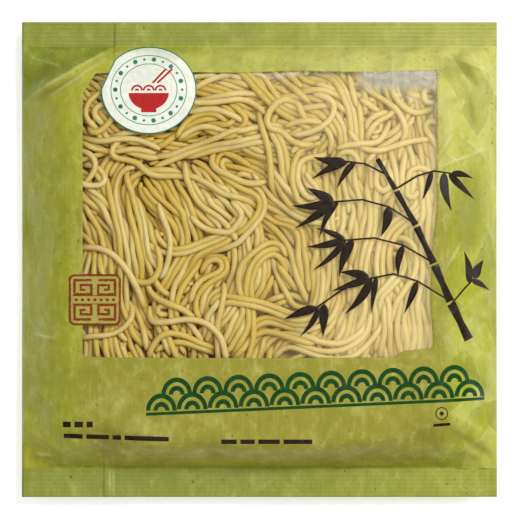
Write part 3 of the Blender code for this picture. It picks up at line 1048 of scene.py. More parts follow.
def flowing_strands(rng, flow, skew, room, level):
    """A layer of strands side by side that run with the flow, each as long as it can be."""
    (x0, x1), (y0, y1) = BLOCK_BOX
    taken = {}
    strands = []

    def is_free(at):
        i, j = int(at[0] // room), int(at[1] // room)
        near = [p for di in (-1, 0, 1) for dj in (-1, 0, 1) for p in taken.get((i + di, j + dj), ())]
        return all((p[0] - at[0]) ** 2 + (p[1] - at[1]) ** 2 > room * room for p in near)

    starts = [(x, y) for x in np.arange(x0, x1, NOODLE) for y in np.arange(y0, y1, NOODLE)]
    shuffled = [starts[k] for k in rng.permutation(len(starts))]
    for k, start in enumerate(shuffled + shuffled):
        cell = int((start[0] - x0) / FLOW_GRID + 0.5), int((start[1] - y0) / FLOW_GRID + 0.5)
        way = flow[cell] ** 0.5 * skew
        ahead = follow(flow, start, way, skew, is_free)
        path = follow(flow, start, -way, skew, is_free)[:0:-1] + ahead
        if len(path) < (3 * FEWEST_POINTS if k < len(starts) else FEWEST_POINTS):
            continue
        for point in path:
            taken.setdefault((int(point[0] // room), int(point[1] // room)), []).append(point)
        strands.append((evened(np.array(path), 4), level + 0.1 * rng.uniform(-1, 1)))
    return strands


def inside_block(line):
    """The longest stretch of a strand in the shown part of the block.

    The block ends lower at its right, and a little further left along its upper right.
    """
    (x0, x1), (y0, y1) = BLOCK_BOX
    x, y = line[:, 0], line[:, 1]
    top = y1 - RIGHT_END_DROP * smooth((x - 37 * MM) / (7 * MM))
    right = x1 - RIGHT_SIDE_DROP * smooth((y - 4 * MM) / (12 * MM))
    within = (x > x0) & (x < right) & (y > y0) & (y < top)
    ends = np.flatnonzero(np.diff(np.concatenate([[0], within.astype(int), [0]])))
    stretches = [line[a:b] for a, b in zip(ends[::2], ends[1::2])]
    return max(stretches, key=len, default=line[:0])


def laid_strands(rng):
    """The listed bundles that are laid in the tray, each strand drifting a little in its bundle."""
    strands = []
    for k, (count, *points) in enumerate(BUNDLES):
        middle = middle_line(points)
        u = np.linspace(0, 1, len(middle))
        for j in range(count):
            drift = rng.normal(0, 0.35 * MM)
            drift = drift + 0.7 * MM * np.sin(u * rng.uniform(2, 7) + rng.uniform(0, 6.28))
            line = evened(beside(middle, (j - (count - 1) / 2) * NOODLE + drift), 24)
            level = (k + 0.8 * rng.uniform(-1, 1)) / len(BUNDLES)
            first, last = (int(n) for n in rng.integers(0, STAGGER, 2))
            line = spaced(line, NOODLE_STEP)
            strands.append((line[first:len(line) - last] if len(line) > 24 else line, level, k))
    return strands


CEILING_STEP = 0.6 * MM


def ceiling():
    """How high the middle of a strand may lie under the film, on a grid over the pack."""
    radius = NOODLE / 2 * (1 + NOODLE_SPREAD)
    xs = np.arange(LEFT, RIGHT, CEILING_STEP)
    film = front_height(*np.meshgrid(xs, xs + (BOTTOM - LEFT), indexing="ij")) - FILM - UNDER_FILM
    highest = film - radius
    reach = int(radius / CEILING_STEP)
    for i in range(-reach, reach + 1):
        for j in range(-reach, reach + 1):
            dome = radius ** 2 - (i * i + j * j) * CEILING_STEP ** 2
            if dome > 0:
                highest = np.minimum(highest, np.roll(film, (i, j), (0, 1)) - math.sqrt(dome))
    return highest


CEILING = ceiling()


def slab_top(x, y):
    """Height of the middle of a strand that touches the film from below."""
    column, row = (x - LEFT) / CEILING_STEP, (y - BOTTOM) / CEILING_STEP
    i, j = column.astype(int), row.astype(int)
    u, v = column - i, row - j
    near = CEILING[i, j] * (1 - v) + CEILING[i, j + 1] * v
    far = CEILING[i + 1, j] * (1 - v) + CEILING[i + 1, j + 1] * v
    return near * (1 - u) + far * u


def slab_foot(x, y):
    """Height of the core on which the noodles lie, with hills and hollows."""
    hills = np.sin(x / (8.5 * MM) + 0.8) * np.sin(y / (7.5 * MM) + 2.1 + x / (40 * MM))
    return base_front(x, y) - FILM - SLAB + HOLLOW * hills


def near_pairs(at, reach):
    """Every pair of points closer than reach, found with a grid of cells."""
    cell = np.floor(at[:, :2] / reach).astype(np.int64)
    cell -= cell.min(axis=0) - 1
    width = int(cell[:, 1].max()) + 2
    number = cell[:, 0] * width + cell[:, 1]
    order = np.argsort(number, kind="stable")
    ranked = number[order]
    firsts, seconds = [], []
    for step in (0, 1, width - 1, width, width + 1):
        low = np.searchsorted(ranked, ranked + step, side="left")
        high = np.searchsorted(ranked, ranked + step, side="right")
        if step == 0:
            low = np.arange(len(at)) + 1
        many = np.maximum(high - low, 0)
        ramp = np.arange(many.sum()) - np.repeat(np.cumsum(many) - many, many)
        firsts.append(order[np.repeat(np.arange(len(at)), many)])
        seconds.append(order[np.repeat(low, many) + ramp])
    a, b = np.concatenate(firsts), np.concatenate(seconds)
    apart = at[a] - at[b]
    close = (apart * apart).sum(axis=1) < reach * reach
    return a[close], b[close]


SETTLE_ROUNDS = 260
EASE_ROUNDS = 24
PAIR_ROUNDS = 6
SINK = 0.05 * MM
TIP_SINK = 0.11 * MM
TIP_POINTS = 10
STIFFNESS = 0.22


def settle(at, strand, bundle, sinking, radius):
    """Let the strands sink onto each other between the core and the film.

    Each keeps its length and its shape in plan as far as the others let it. The sinking
    points are those of the tips that are tucked in.
    """
    first = np.nonzero(strand[:-1] == strand[1:])[0]
    second = first + 1
    before = np.nonzero(strand[:-2] == strand[2:])[0]
    middle, after = before + 1, before + 2
    rest = np.linalg.norm((at[second] - at[first])[:, :2], axis=1)
    laid = (at[before] + at[after]) / 2 - at[middle]
    laid[:, 2] = 0
    chord = 2 * TIGHTEST_BEND * math.sin(NOODLE_STEP / TIGHTEST_BEND)

    def pull(i, j, share):
        at[i] += share
        at[j] -= share

    for turn in range(SETTLE_ROUNDS + EASE_ROUNDS):
        easing = turn >= SETTLE_ROUNDS
        if turn % PAIR_ROUNDS == 0:
            a, b = near_pairs(at, NOODLE * 1.35)
            other = (strand[a] != strand[b]) | (np.abs(a - b) > 3)
            a, b = a[other], b[other]
            reach = np.where(bundle[a] == bundle[b], BUNDLE_SQUEEZE, SQUEEZE) * (radius[a] + radius[b])
            low = slab_foot(at[:, 0], at[:, 1]) + radius
            high = slab_top(at[:, 0], at[:, 1])
        if not easing:
            at[:, 2] -= SINK if turn < 0.8 * SETTLE_ROUNDS else 0.4 * SINK
            at[sinking, 2] -= TIP_SINK
        for _ in range(2):
            gap = at[second] - at[first]
            length = np.linalg.norm(gap, axis=1)
            pull(first, second, (0.35 * (length - rest) / length)[:, None] * gap)
            gap = at[after] - at[before]
            length = np.linalg.norm(gap, axis=1)
            pull(before, after, -(0.25 * np.maximum(chord - length, 0) / length)[:, None] * gap)
            bend = (at[before] + at[after]) / 2 - at[middle]
            at[middle] += STIFFNESS * (bend if easing else bend - laid)
            gap = at[a] - at[b]
            length = np.sqrt((gap * gap).sum(axis=1)) + 1e-9
            near = length < reach
            push = (0.275 * (reach - length) / length)[near, None] * gap[near]
            for k in range(3):
                at[:, k] += np.bincount(a[near], push[:, k], len(at))
                at[:, k] -= np.bincount(b[near], push[:, k], len(at))
            at[:, 2] = np.clip(at[:, 2], low, high)
    return at


def from_shown_end(line):
    """How many points away from its nearest end under the window each point of a strand is."""
    steps = np.arange(len(line))
    away = np.full(len(line), len(line))
    for end, distance in ((line[0], steps), (line[-1], steps[::-1])):
        if WINDOW_LEFT < end[0] < WINDOW_RIGHT and WINDOW_BOTTOM < end[1] < WINDOW_TOP:
            away = np.minimum(away, distance)
    return away


def noodle_strands():
    """Centre lines of all strands, one after another, with each one's span and radius."""
    rng = np.random.default_rng(SEED)
    flow = flow_field()
    strands = []
    for k, (skew, room, level) in enumerate(UNDER_LAYERS):
        turned = complex(math.cos(skew), math.sin(skew))
        layer = flowing_strands(rng, flow, turned, room * NOODLE, level)
        strands += [(inside_block(line), level, -k - 1) for line, level in layer]
    strands += [(inside_block(line), level, k) for line, level, k in laid_strands(rng)]
    strands = [one for one in strands if len(one[0]) >= FEWEST_POINTS]
    many = [len(line) for line, _, _ in strands]
    ends = np.cumsum([0] + many)
    spans = list(zip(ends[:-1], ends[1:]))
    plan = np.vstack([line for line, _, _ in strands])
    strand = np.repeat(np.arange(len(strands)), many)
    level = np.repeat([level for _, level, _ in strands], many)
    bundle = np.repeat([bundle for _, _, bundle in strands], many)
    sizes = NOODLE / 2 * rng.uniform(1 - NOODLE_SPREAD, 1 + NOODLE_SPREAD, len(strands))
    radius = np.repeat(sizes, many)
    from_end = np.concatenate([from_shown_end(line) for line, _, _ in strands])
    dip = TUCKED_END * smooth(1 - from_end / TUCKED_LENGTH)
    height = slab_foot(plan[:, 0], plan[:, 1]) + NOODLE / 2 + 2.2 * MM + level * LAYER_RISE - dip
    sinking = (from_end < TIP_POINTS) & (np.repeat(many, many) > 3 * TIP_POINTS)
    at = settle(np.column_stack([plan, height]), strand, bundle, sinking, radius)
    return at, spans, radius


def depth_under_film(at):
    """How deep points lie below the highest place for a strand, from 0 to 1."""
    return np.clip((slab_top(at[:, 0], at[:, 1]) - at[:, 2]) / (2 * NOODLE), 0, 1)


def noodle_mesh(lines, spans, radius):
    """A round tube along each strand, narrower at both of its blunt ends."""
    rng = np.random.default_rng(SEED + 1)
    turn = 2 * math.pi * np.arange(NOODLE_SIDES) / NOODLE_SIDES
    points, faces, tints = [], [], []
    number = 0
    for a, b in spans:
        line = lines[a:b]
        way = np.gradient(line, axis=0)
        way /= np.linalg.norm(way, axis=1)[:, None]
        side = np.cross(way, (0.0, 0.0, 1.0))
        side /= np.linalg.norm(side, axis=1)[:, None]
        up = np.cross(side, way)
        along = np.arange(b - a)
        uneven = 1 + 0.035 * np.sin(along / rng.uniform(2.5, 5) + rng.uniform(0, 6))
        from_tip = np.minimum(np.minimum(along, along[::-1]) / 2, 1)
        blunt = TIP_SIZE + (1 - TIP_SIZE) * np.sqrt(from_tip)
        size = (radius[a:b] * uneven * blunt)[:, None, None]
        ring = side[:, None] * np.cos(turn)[None, :, None] + up[:, None] * np.sin(turn)[None, :, None]
        points.append((line[:, None] + size * ring).reshape(-1, 3))
        rows = number + NOODLE_SIDES * np.arange(b - a - 1)[:, None] + np.arange(NOODLE_SIDES)
        beyond = number + NOODLE_SIDES * np.arange(b - a - 1)[:, None]
        beyond = beyond + (np.arange(NOODLE_SIDES) + 1) % NOODLE_SIDES
        quads = np.stack([rows, beyond, beyond + NOODLE_SIDES, rows + NOODLE_SIDES], axis=-1)
        faces += quads.reshape(-1, 4).tolist()
        last = number + NOODLE_SIDES * (b - a - 1)
        faces.append([number + k for k in reversed(range(NOODLE_SIDES))])
        faces.append([last + k for k in range(NOODLE_SIDES)])
        tints.append(np.full((b - a) * NOODLE_SIDES, rng.uniform(0, 1)))
        number += NOODLE_SIDES * (b - a)
    values = {
        "strand_tint": np.concatenate(tints),
        "depth": np.repeat(depth_under_film(lines), NOODLE_SIDES),
        "facing": np.tile(np.sin(turn), len(lines)),
    }
    return np.vstack(points), faces, values


# ---------------------------------------------------------------- the core of the block

CORE_BOX = ((-86 * MM, 84 * MM), (-84 * MM, 85 * MM))
CORE_CORNER = 15 * MM
# Where the core starts to rise to the film, outwards from the window's edges, and over what length.
RISE_START, RISE_START_RIGHT, RISE_LENGTH = 1.5 * MM, -1.0 * MM, 4 * MM
CORE_GRID = 1.5 * MM
CORE_RELIEF = 1.1 * MM
CORE_GAP = 0.5 * MM


def core_rise(x, y):
    """0 below the window, where strands lie on the core, and 1 where it fills the film itself."""
    across = np.maximum(WINDOW_LEFT - RISE_START - x, x - WINDOW_RIGHT - RISE_START_RIGHT)
    along = np.maximum(WINDOW_BOTTOM - y, y - WINDOW_TOP) - RISE_START
    return smooth(np.maximum(across, along) / RISE_LENGTH)


def core_mesh():
    """A pillow-shaped block up to the foot of the strands, its top ridged like them."""
    (x0, x1), (y0, y1) = CORE_BOX
    columns = round((x1 - x0) / CORE_GRID) + 1
    rows = round((y1 - y0) / CORE_GRID) + 1
    u, v = np.meshgrid(np.linspace(-1, 1, columns), np.linspace(-1, 1, rows), indexing="ij")
    x = (x0 + x1) / 2 + (x1 - x0) / 2 * u * (1 - 0.02 * v ** 6)
    y = (y0 + y1) / 2 + (y1 - y0) / 2 * v * (1 - 0.02 * u ** 6)
    y = y - CORE_CORNER * smooth((x - 34 * MM) / (12 * MM)) * smooth((v - 0.2) / 0.8)
    swell = ((1 - u ** 14) * (1 - v ** 14)) ** 0.25
    bend = 3 * np.sin(x / (21 * MM) + 1) * np.cos(y / (17 * MM))
    ridges = np.abs(np.sin((x + 0.6 * y) / (1.9 * MM) + 2 * bend))
    cross = np.abs(np.sin((0.7 * x - y) / (1.7 * MM) - 2 * bend))
    foot = slab_foot(x, y)
    high = foot + (slab_top(x, y) - foot) * core_rise(x, y) - CORE_RELIEF * np.minimum(ridges, cross)
    low = back_height(x, y) + FILM + CORE_GAP
    middle = (high + low) / 2
    upper = middle + (high - middle) * swell
    under = middle - (middle - low) * swell
    index = np.arange(columns * rows).reshape(columns, rows)
    inner = np.zeros((columns, rows), bool)
    inner[1:-1, 1:-1] = True
    below = np.where(inner, index + columns * rows, index)
    points = np.vstack([
        np.column_stack([x.ravel(), y.ravel(), upper.ravel()]),
        np.column_stack([x.ravel(), y.ravel(), under.ravel()]),
    ])

    def cells(grid):
        quads = [grid[:-1, :-1], grid[1:, :-1], grid[1:, 1:], grid[:-1, 1:]]
        return np.stack(quads, axis=-1).reshape(-1, 4)

    faces = cells(index).tolist() + cells(below)[:, ::-1].tolist()
    return used_only(points, faces)


# ---------------------------------------------------------------- material helpers


def new_material(name):
    """A node material: its tree and its Principled shader."""
    material = bpy.data.materials.new(name)
    material.use_nodes = True
    tree = material.node_tree
    return material, tree, tree.nodes["Principled BSDF"]


def add_node(tree, kind, links=(), **settings):
    """A node with its settings, its inputs linked or set from (input, value) pairs."""
    node = tree.nodes.new(kind)
    for name, value in settings.items():
        setattr(node, name, value)
    for name, value in links:
        if isinstance(value, bpy.types.NodeSocket):
            tree.links.new(value, node.inputs[name])
        else:
            node.inputs[name].default_value = value
    return node


def place(tree, stretch=(1, 1, 1), turn=0.0):
    """Object coordinates in metres, stretched along their axes and turned about Z."""
    coordinates = add_node(tree, "ShaderNodeTexCoord").outputs["Object"]
    links = [("Vector", coordinates), ("Scale", stretch), ("Rotation", (0, 0, turn))]
    return add_node(tree, "ShaderNodeMapping", links).outputs["Vector"]


def noise(tree, vector, size, detail=2.0, roughness=0.5, distortion=0.0):
    """Noise whose features are about size metres across."""
    links = [("Vector", vector), ("Scale", 1 / size), ("Detail", detail)]
    links += [("Roughness", roughness), ("Distortion", distortion)]
    return add_node(tree, "ShaderNodeTexNoise", links).outputs["Fac"]


def between(tree, value, low, high, to_low=0.0, to_high=1.0):
    """The value's range from low to high, eased onto another range."""
    links = [("Value", value), ("From Min", low), ("From Max", high)]
    links += [("To Min", to_low), ("To Max", to_high)]
    node = add_node(tree, "ShaderNodeMapRange", links, interpolation_type="SMOOTHSTEP")
    return node.outputs["Result"]


def blend_colour(tree, amount, first, second, way="MIX"):
    """First, changed towards second by amount."""
    node = tree.nodes.new("ShaderNodeMix")
    node.data_type = "RGBA"
    node.blend_type = way
    for name, value in (("Factor_Float", amount), ("A_Color", first), ("B_Color", second)):
        socket = next(s for s in node.inputs if s.identifier == name)
        if isinstance(value, bpy.types.NodeSocket):
            tree.links.new(value, socket)
        elif isinstance(value, (int, float)):
            socket.default_value = value
        else:
            socket.default_value = (*value[:3], 1.0)
    return next(s for s in node.outputs if s.identifier == "Result_Color")


def sums(tree, operation, first, second):
    """One arithmetic step between two values."""
    return add_node(tree, "ShaderNodeMath", [(0, first), (1, second)], operation=operation).outputs[0]


def bump(tree, height, distance, strength=1.0):
    """A normal from a height of 0 to 1 that stands for distance metres."""
    links = [("Height", height), ("Distance", distance), ("Strength", strength)]
    return add_node(tree, "ShaderNodeBump", links).outputs["Normal"]


# ---------------------------------------------------------------- the materials

PAPER_GREEN = (0.310, 0.312, 0.022)
PAPER_LEAF = (0.250, 0.285, 0.018)
PAPER_SEAL = (0.195, 0.226, 0.036)
PAPER_SHADE = (0.150, 0.200, 0.016)
# painted light: the film is paler towards the top and the right, where more light falls on it
PAPER_PAINTED_LIGHT = (0.500, 0.476, 0.150)
PAPER_TAN = (0.240, 0.212, 0.024)
PAPER_PALE = (0.490, 0.480, 0.135)
PAPER_DARK = (0.170, 0.180, 0.014)
PAPER_SPECK = (0.080, 0.070, 0.012)
# painted highlight on the crests of creases and on the lines between crumpled facets
PAPER_HIGHLIGHT = (0.600, 0.600, 0.280)
PATCH = 15 * MM
# The shaded side of the fan of folds: how its edge rises to the right, and where it crosses x = 0.
FAN_SLOPE, FAN_EDGE = 0.6, 125.6 * MM
FILM_GLOSS = 0.15
INKS = {
    "white": ((0.690, 0.700, 0.620), (0.600, 0.620, 0.510)),
    "teal": ((0.010, 0.130, 0.075), (0.020, 0.190, 0.110)),
    "red": ((0.400, 0.012, 0.010), (0.320, 0.010, 0.008)),
    "red_ink": ((0.190, 0.018, 0.003), (0.150, 0.040, 0.006)),
    "stamp_ground": ((0.340, 0.290, 0.060), (0.300, 0.260, 0.050)),
    "green": ((0.002, 0.036, 0.004), (0.004, 0.052, 0.006)),
    "black": ((0.010, 0.005, 0.002), (0.016, 0.009, 0.004)),
}
INSIDE_COLOUR = (0.62, 0.59, 0.48)
INSIDE_DUSTY = (0.52, 0.50, 0.40)
PAINTS = ("base", "white", "teal", "red", "red_ink", "stamp_ground", "green", "black", "inside", "clear")

# Colours of the clear film's hazy veil with its painted sheen, and of its milky corner with painted glints.
HAZE_AND_SHEEN_COLOUR = (0.96, 0.80, 0.34)
HAZE_BARE = (0.59, 0.545, 0.41)
NOODLE_PALE = (0.590, 0.480, 0.210)
NOODLE_DEEP = (0.525, 0.388, 0.078)
# brown of the fine specks, and of the painted shade on deep strands
NOODLE_SPECK_AND_SHADE = (0.480, 0.300, 0.026)
NOODLE_FLANK_BOUNCE = (0.720, 0.460, 0.085)
NOODLE_PAINTED_SHEEN = (0.745, 0.635, 0.330)
# painted shade of the block's depth, mottled
CORE_SHADE = (0.420, 0.250, 0.040)
CORE_DEEP_SHADE = (0.280, 0.150, 0.022)


def film_bump(tree):
    """Fine cockle of the plastic film."""
    height = noise(tree, place(tree), 2.6 * MM, detail=3)
    return bump(tree, height, 0.07 * MM)


def paper_film():
    """Film printed like handmade paper: blotches, upright fibres and dark flecks, with painted light and shade over
    it.
    """
    material, tree, shader = new_material("printed_paper_green")
    blotch = noise(tree, place(tree), 14 * MM, detail=5, roughness=0.65)
    large = noise(tree, place(tree), 48 * MM, detail=2)
    fibre = noise(tree, place(tree, (1, 0.07, 1)), 0.8 * MM, detail=3, roughness=0.6)
    slant = noise(tree, place(tree, (1, 0.12, 1), 0.5), 0.9 * MM, detail=3, roughness=0.6)
    streak = noise(tree, place(tree, (1, 0.16, 1)), 3.6 * MM, detail=4, roughness=0.7)
    grain = noise(tree, place(tree), 1.1 * MM, detail=3, roughness=0.7)
    mottle = noise(tree, place(tree, (1, 0.6, 1)), 4.2 * MM, detail=4, roughness=0.7)
    flecks = noise(tree, place(tree, (1, 0.6, 1)), 1.6 * MM, detail=1)
    spots = add_node(tree, "ShaderNodeSeparateXYZ", [("Vector", place(tree))])
    # The masks upper and right place the painted light towards the top right.
    upper = between(tree, spots.outputs["Y"], -5 * MM, 85 * MM, 0.0, 0.6)
    right = between(tree, spots.outputs["X"], -85 * MM, 70 * MM, 0.05, 1.0)
    sealed_top = between(tree, spots.outputs["Y"], TOP_SEAL_Y, TOP_SEAL_Y + 0.6 * MM)
    sealed_foot = between(tree, spots.outputs["Y"], BOTTOM_SEAL_Y, BOTTOM_SEAL_Y - 0.6 * MM)
    sealed = sums(tree, "ADD", sealed_top, sealed_foot)
    on_noodles = add_node(tree, "ShaderNodeAttribute", attribute_name="on_noodles").outputs["Fac"]
    fold = add_node(tree, "ShaderNodeAttribute", attribute_name="fold").outputs["Fac"]
    loose = sums(tree, "SUBTRACT", 1.0, sums(tree, "MAXIMUM", on_noodles, sealed))
    from_middle = sums(tree, "ABSOLUTE", spots.outputs["X"], 0.0)
    loose = sums(tree, "MULTIPLY", loose, between(tree, from_middle, 72 * MM, 80 * MM))
    loose = sums(tree, "MULTIPLY", loose, between(tree, spots.outputs["X"], -80 * MM, 80 * MM, 0.3, 1.0))
    painted_facet_tone, painted_ridge_highlight, crumple_height = crumple_shading(tree)

    colour = blend_colour(tree, between(tree, large, 0.35, 0.65, 0.0, 0.6), PAPER_GREEN, PAPER_LEAF)
    colour = blend_colour(tree, sums(tree, "MULTIPLY", on_noodles, 0.85), colour, PAPER_TAN)
    # Painted light: paler towards the top right.
    colour = blend_colour(tree, sums(tree, "MULTIPLY", upper, right), colour, PAPER_PAINTED_LIGHT)
    green = between(tree, spots.outputs["X"], -70 * MM, 95 * MM, 0.85, 0.45)
    colour = blend_colour(tree, sums(tree, "MULTIPLY", sealed, green), colour, PAPER_SEAL)
    lean = sums(tree, "MULTIPLY", spots.outputs["X"], -FAN_SLOPE)
    over = between(tree, sums(tree, "ADD", lean, spots.outputs["Y"]), FAN_EDGE, FAN_EDGE + 2 * MM)
    unsealed = sums(tree, "SUBTRACT", 0.75, sealed)
    colour = blend_colour(tree, sums(tree, "MULTIPLY", over, unsealed), colour, PAPER_SHADE)
    colour = blend_colour(tree, between(tree, blotch, 0.50, 0.78, 0.0, 0.45), colour, PAPER_PALE)
    colour = blend_colour(tree, between(tree, blotch, 0.48, 0.25, 0.0, 0.50), colour, PAPER_DARK)
    colour = blend_colour(tree, between(tree, streak, 0.52, 0.75, 0.0, 0.22), colour, PAPER_PALE)
    colour = blend_colour(tree, between(tree, streak, 0.48, 0.28, 0.0, 0.24), colour, PAPER_DARK)
    colour = blend_colour(tree, between(tree, fibre, 0.52, 0.80, 0.0, 0.18), colour, PAPER_PALE)
    colour = blend_colour(tree, between(tree, slant, 0.58, 0.80, 0.0, 0.20), colour, PAPER_PALE)
    colour = blend_colour(tree, between(tree, fibre, 0.48, 0.26, 0.0, 0.20), colour, PAPER_DARK)
    colour = blend_colour(tree, between(tree, grain, 0.45, 0.25, 0.0, 0.45), colour, PAPER_DARK)
    colour = blend_colour(tree, between(tree, mottle, 0.50, 0.72, 0.0, 0.34), colour, PAPER_PALE)
    colour = blend_colour(tree, between(tree, mottle, 0.48, 0.28, 0.0, 0.34), colour, PAPER_DARK)
    # Painted light and shade: facets of the loose film paler or deeper in tone, and a painted highlight on the
    # lines between them.
    lighter = sums(tree, "MULTIPLY", loose, between(tree, painted_facet_tone, 0.55, 0.95, 0.0, 0.30))
    darker = sums(tree, "MULTIPLY", loose, between(tree, painted_facet_tone, 0.45, 0.05, 0.0, 0.34))
    colour = blend_colour(tree, lighter, colour, PAPER_PALE)
    colour = blend_colour(tree, darker, colour, PAPER_DARK)
    colour = blend_colour(tree, sums(tree, "MULTIPLY", loose, painted_ridge_highlight), colour, PAPER_HIGHLIGHT)
    pressed = sums(tree, "MULTIPLY", sums(tree, "MULTIPLY", sealed, green), 0.35)
    colour = blend_colour(tree, pressed, colour, PAPER_SEAL)
    colour = blend_colour(tree, between(tree, flecks, 0.27, 0.20, 0.0, 0.8), colour, PAPER_SPECK)
    hollow = add_node(tree, "ShaderNodeAttribute", attribute_name="hollow").outputs["Fac"]
    colour = blend_colour(tree, sums(tree, "MULTIPLY", hollow, 0.7), colour, PAPER_DARK)
    # Painted highlight along the crests of the creases, uneven with the blotches.
    fold_highlight_amount = sums(tree, "MULTIPLY", fold, between(tree, blotch, 0.35, 0.60, 0.15, 0.55))
    colour = blend_colour(tree, fold_highlight_amount, colour, PAPER_HIGHLIGHT)
    tree.links.new(colour, shader.inputs["Base Color"])
    tree.links.new(between(tree, blotch, 0.3, 0.7, 0.32, 0.46), shader.inputs["Roughness"])
    shader.inputs["Specular IOR Level"].default_value = FILM_GLOSS
    height = sums(tree, "MULTIPLY", loose, crumple_height)
    normal = bump(tree, height, 0.5 * MM)
    fine = add_node(tree, "ShaderNodeBump", [("Height", grain), ("Distance", 0.05 * MM), ("Normal", normal)])
    tree.links.new(fine.outputs["Normal"], shader.inputs["Normal"])
    return material


def crumple_shading(tree):
    """Painted light and shade on facets of the loose film that are creased against each other.

    Gives each facet's painted tone, the painted highlight line between facets and their bump height.
    """
    push = noise(tree, place(tree), 24 * MM, detail=2)
    warp = add_node(tree, "ShaderNodeMath", [(0, push), (1, 9 * MM)], operation="MULTIPLY").outputs[0]
    shift = add_node(tree, "ShaderNodeCombineXYZ", [("X", warp), ("Y", warp)]).outputs["Vector"]
    links = [(0, place(tree, (1, 0.75, 1), 0.4)), (1, shift)]
    at = add_node(tree, "ShaderNodeVectorMath", links, operation="ADD").outputs["Vector"]
    links = [("Vector", at), ("Scale", 1 / PATCH)]
    cell = add_node(tree, "ShaderNodeTexVoronoi", links, feature="F1")
    edge = add_node(tree, "ShaderNodeTexVoronoi", links, feature="DISTANCE_TO_EDGE")
    parts = add_node(tree, "ShaderNodeSeparateColor", [("Color", cell.outputs["Color"])])
    broken = between(tree, noise(tree, place(tree), 9 * MM, detail=2), 0.48, 0.66, 0.0, 0.25)
    line = between(tree, edge.outputs["Distance"], 0.0, 0.035, 1.0, 0.0)
    painted_ridge_highlight = sums(tree, "MULTIPLY", line, broken)
    return parts.outputs["Red"], painted_ridge_highlight, between(tree, edge.outputs["Distance"], 0.0, 0.3, 1.0, 0.0)


def ink(name, colour, uneven):
    """Ink on the film, a little uneven in cover."""
    material, tree, shader = new_material("print_" + name)
    cover = noise(tree, place(tree), 2.2 * MM, detail=4, roughness=0.6)
    mixed = blend_colour(tree, between(tree, cover, 0.35, 0.65), colour, uneven)
    tree.links.new(mixed, shader.inputs["Base Color"])
    tree.links.new(between(tree, cover, 0.3, 0.7, 0.30, 0.42), shader.inputs["Roughness"])
    shader.inputs["Specular IOR Level"].default_value = FILM_GLOSS
    tree.links.new(film_bump(tree), shader.inputs["Normal"])
    return material


def inside_film():
    """The film's unprinted inner face, with the starch dust of the noodles on it."""
    material, tree, shader = new_material("film_inside")
    dust = noise(tree, place(tree), 6 * MM, detail=4)
    colour = blend_colour(tree, between(tree, dust, 0.35, 0.65), INSIDE_COLOUR, INSIDE_DUSTY)
    tree.links.new(colour, shader.inputs["Base Color"])
    shader.inputs["Roughness"].default_value = 0.5
    tree.links.new(film_bump(tree), shader.inputs["Normal"])
    return material


def clear_film():
    """Clear film: faintly and warmly hazy with a painted sheen, both heavier to the right, painted glints in
    streaks and on creases, and a soft gloss over it.
    """
    material, tree, shader = new_material("clear_film")
    shader.inputs["Roughness"].default_value = 0.4
    ripple = bump(tree, noise(tree, place(tree, (1, 0.3, 1)), 3.5 * MM, detail=2), 0.10 * MM)
    tree.links.new(ripple, shader.inputs["Normal"])
    spots = add_node(tree, "ShaderNodeSeparateXYZ", [("Vector", place(tree))])
    cloud = noise(tree, place(tree, (1, 0.4, 1)), 22 * MM, detail=3)
    glint_streaks = noise(tree, place(tree, (1, 0.10, 1)), 2.6 * MM, detail=3)
    # Painted sheen: whiter towards the right, in clouds.
    haze_and_painted_sheen = between(tree, spots.outputs["X"], -25 * MM, 60 * MM, 0.0, 0.12)
    haze_and_painted_sheen = sums(tree, "MULTIPLY", haze_and_painted_sheen, between(tree, cloud, 0.3, 0.7, 0.55, 1.45))
    # Painted glints in upright streaks near the top of the window.
    upper = between(tree, spots.outputs["Y"], 55 * MM, 80 * MM, 0.0, 0.07)
    haze_and_painted_sheen = sums(tree, "ADD", haze_and_painted_sheen, sums(tree, "MULTIPLY", upper, between(tree, glint_streaks, 0.52, 0.75)))
    # Corner without noodles at the top right: milky film, with painted glints that lift its shade.
    bare_x = between(tree, spots.outputs["X"], 38 * MM, 46 * MM)
    bare_y = between(tree, spots.outputs["Y"], 69 * MM, 74 * MM)
    bare = sums(tree, "MULTIPLY", bare_x, bare_y)
    milky = sums(tree, "MULTIPLY", bare, between(tree, glint_streaks, 0.3, 0.7, 0.20, 0.42))
    haze_and_painted_sheen = sums(tree, "ADD", haze_and_painted_sheen, milky)
    tree.links.new(blend_colour(tree, bare, HAZE_AND_SHEEN_COLOUR, HAZE_BARE), shader.inputs["Base Color"])
    fold_x = between(tree, spots.outputs["X"], 58.8 * MM, 59.4 * MM)
    fold_y = between(tree, spots.outputs["Y"], -26 * MM, -29 * MM, 0.0, 0.10)
    haze_and_painted_sheen = sums(tree, "ADD", haze_and_painted_sheen, sums(tree, "MULTIPLY", fold_x, fold_y))
    # Painted highlight along the crests of the creases.
    fold = add_node(tree, "ShaderNodeAttribute", attribute_name="fold").outputs["Fac"]
    haze_and_painted_sheen = sums(tree, "ADD", haze_and_painted_sheen, sums(tree, "MULTIPLY", fold, 0.3))
    see_through = add_node(tree, "ShaderNodeBsdfTransparent")
    veil = add_node(tree, "ShaderNodeMixShader", [("Fac", haze_and_painted_sheen)])
    tree.links.new(see_through.outputs["BSDF"], veil.inputs[1])
    tree.links.new(shader.outputs["BSDF"], veil.inputs[2])
    gloss = add_node(tree, "ShaderNodeBsdfAnisotropic", [("Roughness", 0.22), ("Normal", ripple)])
    glint = add_node(tree, "ShaderNodeFresnel", [("IOR", 1.45), ("Normal", ripple)]).outputs["Fac"]
    film = add_node(tree, "ShaderNodeMixShader", [("Fac", sums(tree, "MULTIPLY", glint, 0.16))])
    tree.links.new(veil.outputs["Shader"], film.inputs[1])
    tree.links.new(gloss.outputs["BSDF"], film.inputs[2])
    tree.links.new(film.outputs["Shader"], tree.nodes["Material Output"].inputs["Surface"])
    return material


